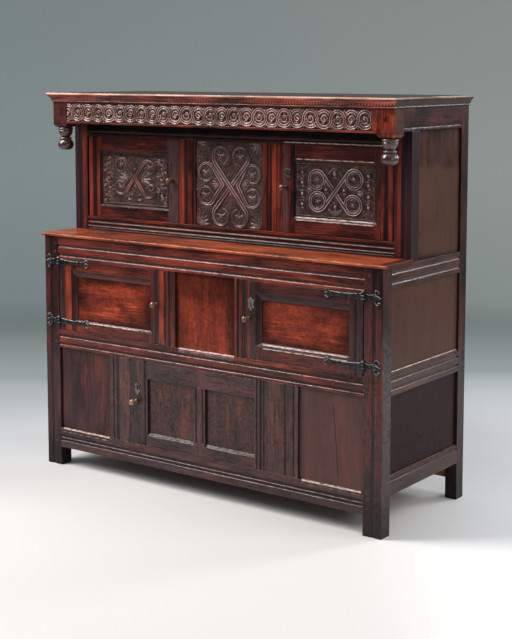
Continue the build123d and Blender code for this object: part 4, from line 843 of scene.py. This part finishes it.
def centre_carving():
    """Two crossed S-scrolls between two bent C-scrolls, with leaf fans between and in the corners."""
    field = Carving(-0.159, 0.161, 1.015, 1.344, CARVING_STEP)
    field.scales(0.0085)
    for side in (-1, 1):
        for z, way in ((1.338, -1), (1.021, 1)):
            angle = way * math.radians(90 + 45 * side)
            field.fan(0.001 + 0.153 * side, z, angle, 1.6, 6, 0.058, 0.0056)
        field.fan(0.007 + 0.05 * side, 1.178, math.pi / 2 * (1 - side), 1.3, 5, 0.04, 0.0048)
        field.fan(0.007, 1.178 + 0.03 * side, side * math.pi / 2, 1.0, 5, 0.05, 0.0052)
        field.leaf(0.008, 1.178 + 0.052 * side, side * math.pi / 2, 0.085, 0.008, 0.8)
    for x, side in ((-0.110, 1), (0.112, -1)):
        knee = (0.007 - 0.036 * side, 1.178)
        field.strap(bent_scroll(x, (1.222, 1.134), knee, 0.039, side), 0.0096)
    for first, second, turns in (((0.055, 1.287), (-0.037, 1.057), (-1, 1)),
                                 ((-0.037, 1.287), (0.050, 1.057), (1, -1))):
        field.strap(scroll(first, second, 0.04, turns), 0.0104)
    for x, z in ((-0.110, 1.222), (-0.110, 1.134), (0.112, 1.222), (0.112, 1.134), (0.055, 1.287),
                 (-0.037, 1.287), (-0.037, 1.057), (0.050, 1.057)):
        rosette(field, x, z, 5, 0.022, 0.0050)
    return field


def left_door_carving():
    """Two crossed S-scrolls with flowers in their coils, hooked leaves all round, and a plain sunk
    band on top."""
    middle = -0.4765
    field = Carving(-0.6525, -0.3045, 1.069, 1.283, CARVING_STEP)
    field.scales(0.008)
    for side in (-1, 1):
        for row, z in enumerate((1.098, 1.129, 1.160, 1.191, 1.222, 1.250)):
            x = middle + side * (0.140 if row % 2 else 0.158)
            field.fan(x, z, math.pi / 2 * (1 + side), 1.2, 3, 0.028, 0.0048)
            field.strap(hook(x, z, 0.015, math.pi / 2 * (1 - side) + 1.2, -side * 5.0), 0.0058, 0.9)
        for x in (middle + side * 0.118, middle + side * 0.040):
            field.fan(x, 1.1785 + side * 0.078, -side * math.pi / 2, 1.6, 4, 0.034, 0.0056)
        field.fan(middle + side * 0.03, 1.18, math.pi / 2 * (1 - side), 1.5, 5, 0.06, 0.0056)
    for x, z, start in ((-0.497, 1.247, 2.2), (-0.455, 1.247, 0.9), (-0.500, 1.108, 4.0),
                        (-0.453, 1.107, 5.4)):
        field.strap(hook(x, z, 0.0145, start, 4.6 if x < middle else -4.6), 0.0052, 0.85)
    for first, second, turns in (((-0.400, 1.226), (-0.553, 1.143), (1, -1)),
                                 ((-0.552, 1.231), (-0.396, 1.133), (-1, 1))):
        field.strap(scroll(first, second, 0.032, turns, coil=5.6, shrink=0.2), 0.008)
        for x, z in (first, second):
            rosette(field, x, z, 6, 0.020, 0.0045)
    for x, z in ((middle, 1.216), (middle, 1.150), (-0.518, 1.184), (-0.435, 1.182)):
        field.boss(x, z, 0.0062)
    field.rise = np.maximum(0.05, field.rise * ease((1.2645 - field.z) / 0.0025))
    field.add(0.5 * ease((1.078 - field.z) / 0.0025))
    return field


def right_door_carving():
    """Four roundels joined by crossed straps, ringed buttons down both sides, notches on top."""
    field = Carving(0.3095, 0.6515, 1.078, 1.276, CARVING_STEP)
    field.scales(0.008, 0.7)
    for z, way in ((1.088, 1), (1.262, -1)):
        field.fan(0.481, z, way * math.pi / 2, 1.8, 5, 0.04, 0.0055)
    for x, way in ((0.358, 0.0), (0.604, math.pi)):
        field.fan(x, 1.18, way, 1.7, 5, 0.04, 0.0055)
    for first, second, turns in (((0.403, 1.218), (0.558, 1.132), (-1, 1)),
                                 ((0.562, 1.225), (0.407, 1.138), (1, -1))):
        field.strap(scroll(first, second, 0.033, turns, coil=6.28, shrink=0.0, taper=0.12), 0.009)
        for x, z in (first, second):
            field.ring(x, z, 0.0215, 0.0032, 0.8)
            rosette(field, x, z, 8, 0.0175, 0.0034)
    for x, heights in ((0.338, (1.243, 1.205, 1.163, 1.125)), (0.622, (1.240, 1.205, 1.165, 1.127))):
        for z in heights:
            field.ring(x, z, 0.0135, 0.0034, 0.65)
            field.boss(x, z, 0.0078, 1.0)
    for x, z in ((0.479, 1.240), (0.482, 1.122), (0.442, 1.183), (0.519, 1.184)):
        field.ring(x, z, 0.014, 0.0032, 0.65)
        field.boss(x, z, 0.0066, 1.0)
    border = 0.5 * ease((field.z - 1.263) / 0.0025)
    for x in (0.368, 0.447, 0.514, 0.595):
        border *= ease((field.away(x, 1.264) - 0.0075) / 0.0025)
    field.add(border)
    field.add(0.5 * ease((1.086 - field.z) / 0.0025))
    return field


def frieze_carving():
    """A chain of interlaced double rings with a coil in each. In every pitch, u and v are the
    distances from the middle, ring = |sqrt(u^2 + v^2) - radius| / half, and the coil inside has
    the radius coil radius (1 - 0.095 angle)."""
    right, middle = 0.7115, 1.444
    pitch, radius, half = 0.0563, 0.029, 0.0076
    coil_radius, coil_half = 0.0155, 0.0036
    field = Carving(-0.7265, right, 1.4085, 1.4795, FRIEZE_STEP)
    field.scales(0.0085, 0.3)
    drift = 0.0012 * np.sin(19 * field.x) + 0.0006 * np.sin(171 * field.x + 60 * field.z)
    along = (field.x - right + drift) / pitch
    v = field.z - middle + 0.0009 * np.sin(23 * field.x + 1.0)
    rings = []
    for phase in (0.5, 1.5):
        u = ((along - phase + 1) % 2 - 1) * pitch
        rings.append(abs(np.hypot(u, v) - radius) / half)
    ground = field.rise
    layers = []
    for order in (rings, rings[::-1]):
        field.rise = ground.copy()
        for t in order:
            field.lay(t)
        layers.append(field.rise)
    field.rise = np.where(v > 0, *layers)
    cell = np.floor(along)
    u = (along - cell - 0.5) * pitch
    hand = np.where(cell % 2 == 0, 1, -1)
    around = np.arctan2(v * hand, u * hand)
    d = np.hypot(u, v)
    inside = ease((0.0225 - d) / 0.002)
    petals = 0.62 * abs(np.cos(2.5 * around + 60 * d)) ** 0.7 * inside
    coil = abs(d - coil_radius * (1 - 0.095 * (around % math.tau))) / coil_half
    field.add(petals * (coil > 1.2))
    field.add(0.9 * ease(2.6 * (1 - coil)) * inside)
    field.add(0.85 * dome(d / 0.0055))
    field.add(0.75 * dome(np.hypot(abs(u) - pitch / 2, abs(v) - 0.028) / 0.0062))
    return field


# The body, the carving, its ground and depth in y, and the tone that its tops are painted
# towards, as wear with a painted highlight.
CARVED = {
    "carved_centre_panel": ("carcase", centre_carving, -0.0935, 0.0048, (0.42, 0.27, 0.26)),
    "carved_left_door_panel": ("upper_left_door", left_door_carving, -0.0905, 0.0065,
                               (0.44, 0.20, 0.18)),
    "carved_right_door_panel": ("upper_right_door", right_door_carving, -0.0905, 0.0065,
                                (0.46, 0.31, 0.31)),
    "carved_frieze": ("carcase", frieze_carving, -0.2175, 0.0046, (0.52, 0.29, 0.26)),
}
for number, (name, (body, make, ground, depth, rub_and_highlight)) in enumerate(CARVED.items()):
    finish = oak(name.replace("_", " "), "x", CARVED_TONES, 70.3 + 5 * number, rub_and_highlight=rub_and_highlight)
    carved_piece(name, body, make(), ground, depth, finish)


# ---- floor, background, light and camera ----
AWAY, RIGHTWARD = (-0.59, 0.807, 0), (0.807, 0.59, 0)
FLOOR_RADIUS, FLOOR_RINGS, FLOOR_SECTORS = 9.0, 24, 96
THINS_OUT = (2.9, 4.6)
# Paper tones by distance: darker away from the case, as painted falloff of the light.
PAPER_FALLOFF = ((0.0, (0.79, 0.76, 0.72)), (0.20, (0.775, 0.755, 0.74)), (0.32, (0.655, 0.66, 0.665)),
         (0.45, (0.50, 0.52, 0.52)), (0.52, (0.40, 0.43, 0.43)), (0.57, (0.30, 0.335, 0.335)),
         (0.75, (0.258, 0.292, 0.278)), (1.0, (0.18, 0.22, 0.20)))
BACKDROP = ((0.0, (0.86, 0.84, 0.80)), (0.10, (0.62, 0.65, 0.66)), (0.18, (0.36, 0.40, 0.40)),
            (0.245, (0.205, 0.235, 0.22)), (0.32, (0.235, 0.265, 0.255)),
            (0.46, (0.27, 0.295, 0.285)), (0.66, (0.245, 0.265, 0.255)), (1.0, (0.22, 0.24, 0.23)))
FILL = (0.86, 0.95, 1.06)
CAMERA_PLACE, LOOKS_DOWN, TURNED = (3.145664, -4.213089, 1.62365), 6.263, 36.236
LENS, ROWS, AIM_ROW = 76.715, 639, 217


def floor_finish():
    """Pale paper with painted light: it greys with distance as painted falloff, has painted shade on
    the left and a painted brighter patch on the right, and is thinned out far away."""
    made = bpy.data.materials.new("pale floor")
    g = bare_graph(made)
    point = g.point()
    right = g.vector("DOT_PRODUCT", point, RIGHTWARD)
    # Painted falloff: the paper greys with distance.
    away = g.vector("DOT_PRODUCT", point, AWAY) - g.span(right, 0.2, 1.4, 0.0, 0.16)
    paper = g.ramp(g.span_line(away, -0.5, 3.5), PAPER_FALLOFF)
    # Painted shade on the left.
    shade = g.span(right, -0.3, -1.2) * g.span(away, -0.45, 0.1) * g.span(away, 1.9, 1.2)
    paper = g.mix(shade, paper, g.times(paper, (0.78, 0.79, 0.81)))
    # Painted light on the right.
    bright = g.span(right, 0.3, 0.9) * g.span(away, 0.3, -0.6, 0.35, 1.0)
    paper = g.mix(bright, paper, g.times(paper, (1.2, 1.22, 1.26)))
    shader = g.out("BsdfPrincipled", {
        "Base Color": paper, "Roughness": 0.8, "Specular IOR Level": 0.2})
    thin = g.out("BsdfTransparent")
    share = g.span(g.vector("LENGTH", point), *THINS_OUT)
    surface = g.out("MixShader", {0: share, 1: shader, 2: thin})
    g.put("OutputMaterial", {0: surface})
    return made


def studio_floor():
    """A round pale floor that thins out into the background with distance."""
    r = np.linspace(0.0, FLOOR_RADIUS, FLOOR_RINGS + 1)[1:]
    a = np.linspace(0, math.tau, FLOOR_SECTORS, endpoint=False)
    ring, angle = np.meshgrid(r, a, indexing="ij")
    points = np.stack([ring * np.cos(angle), ring * np.sin(angle), 0 * ring], -1).reshape(-1, 3)
    points = np.vstack([points, [[0, 0, 0]]])
    index = np.arange(FLOOR_RINGS * FLOOR_SECTORS).reshape(FLOOR_RINGS, FLOOR_SECTORS)
    beside = np.roll(index, -1, axis=1)
    quads = np.stack([index[:-1], index[1:], beside[1:], beside[:-1]], -1).reshape(-1, 4)
    fan = np.stack([np.full(FLOOR_SECTORS, len(points) - 1), index[0], beside[0]], -1)
    mesh = bpy.data.meshes.new("studio floor")
    mesh.from_pydata(points.tolist(), [], quads.tolist() + fan.tolist())
    mesh.materials.append(floor_finish())
    floor = shown("studio_floor", mesh)


def studio_world():
    """A plain backdrop, pale low down and grey-green above the horizon, and even fill light.
    Polished faces that look away from the backdrop mirror the dark half of the studio."""
    world = bpy.data.worlds.new("studio")
    bpy.context.scene.world = world
    g = bare_graph(world)
    x, y, z = g.split(g.out("TexCoord", output="Generated"))
    colour = g.ramp(g.span_line(z, -0.35, 0.25), BACKDROP)
    left = g.span_line(x, -0.43, -0.73)
    colour = g.mix(left, colour, g.times(colour, (0.78, 0.86, 0.9)))
    ray = g.put("LightPath").outputs
    dark = g.span(y, -0.25, 0.35, 0.1, 1.0)
    mirrored = g.out("Background", {0: g.mix(dark, (0, 0, 0), colour)})
    fill = g.out("Background", {0: FILL, 1: g.span(z, 0.05, 0.5, 0.08, 0.39)})
    unseen = g.out("MixShader", {0: ray["Is Glossy Ray"], 1: fill, 2: mirrored})
    seen = g.larger(ray["Is Camera Ray"], ray["Is Transmission Ray"])
    backdrop = g.out("Background", {0: colour})
    studio = g.out("MixShader", {0: seen, 1: unseen, 2: backdrop})
    g.put("OutputWorld", {0: studio})


def lamp(name, place, aim, size, power, colour=(1, 1, 1)):
    """A square soft box at a place, aimed at a point."""
    data = bpy.data.lights.new(name, "AREA")
    data.shape = "SQUARE"
    data.size = size
    data.energy = power
    data.color = colour
    made = shown(name, data)
    made.location = place
    x, y, z = np.array(aim, float) - np.array(place, float)
    made.rotation_euler = (math.atan2(math.hypot(x, y), -z), 0, math.atan2(y, x) - math.pi / 2)


def camera():
    """Camera at the viewing angle. Its lens is raised a little, against leaning uprights."""
    data = bpy.data.cameras.new("camera")
    data.sensor_width = 36.0
    data.lens = LENS
    data.shift_y = -(ROWS / 2 - AIM_ROW) / ROWS
    data.clip_end = 200
    made = shown("camera", data)
    made.location = CAMERA_PLACE
    made.rotation_euler = (math.radians(90 - LOOKS_DOWN), 0, math.radians(TURNED))
    bpy.context.scene.camera = made


studio_floor()
studio_world()
lamp("overhead soft box", (-2.0, -1.6, 3.9), (0, -0.1, 0.8), 1.7, 132, (1.0, 0.98, 0.95))
lamp("left soft box", (-2.95, -2.7, 3.2), (0, -0.2, 0.9), 1.8, 96, (1.0, 0.985, 0.96))
lamp("right strip", (3.3, -1.6, 1.5), (0.9, -0.2, 0.5), 0.8, 14)
lamp("right rim", (3.4, 0.9, 2.4), (1.2, 0.2, 0.4), 1.4, 30)
lamp("right back strip", (2.4, 3.0, 2.3), (1.0, 0.6, 0.3), 0.9, 50)
camera()

bpy.context.scene.view_settings.view_transform = "Standard"
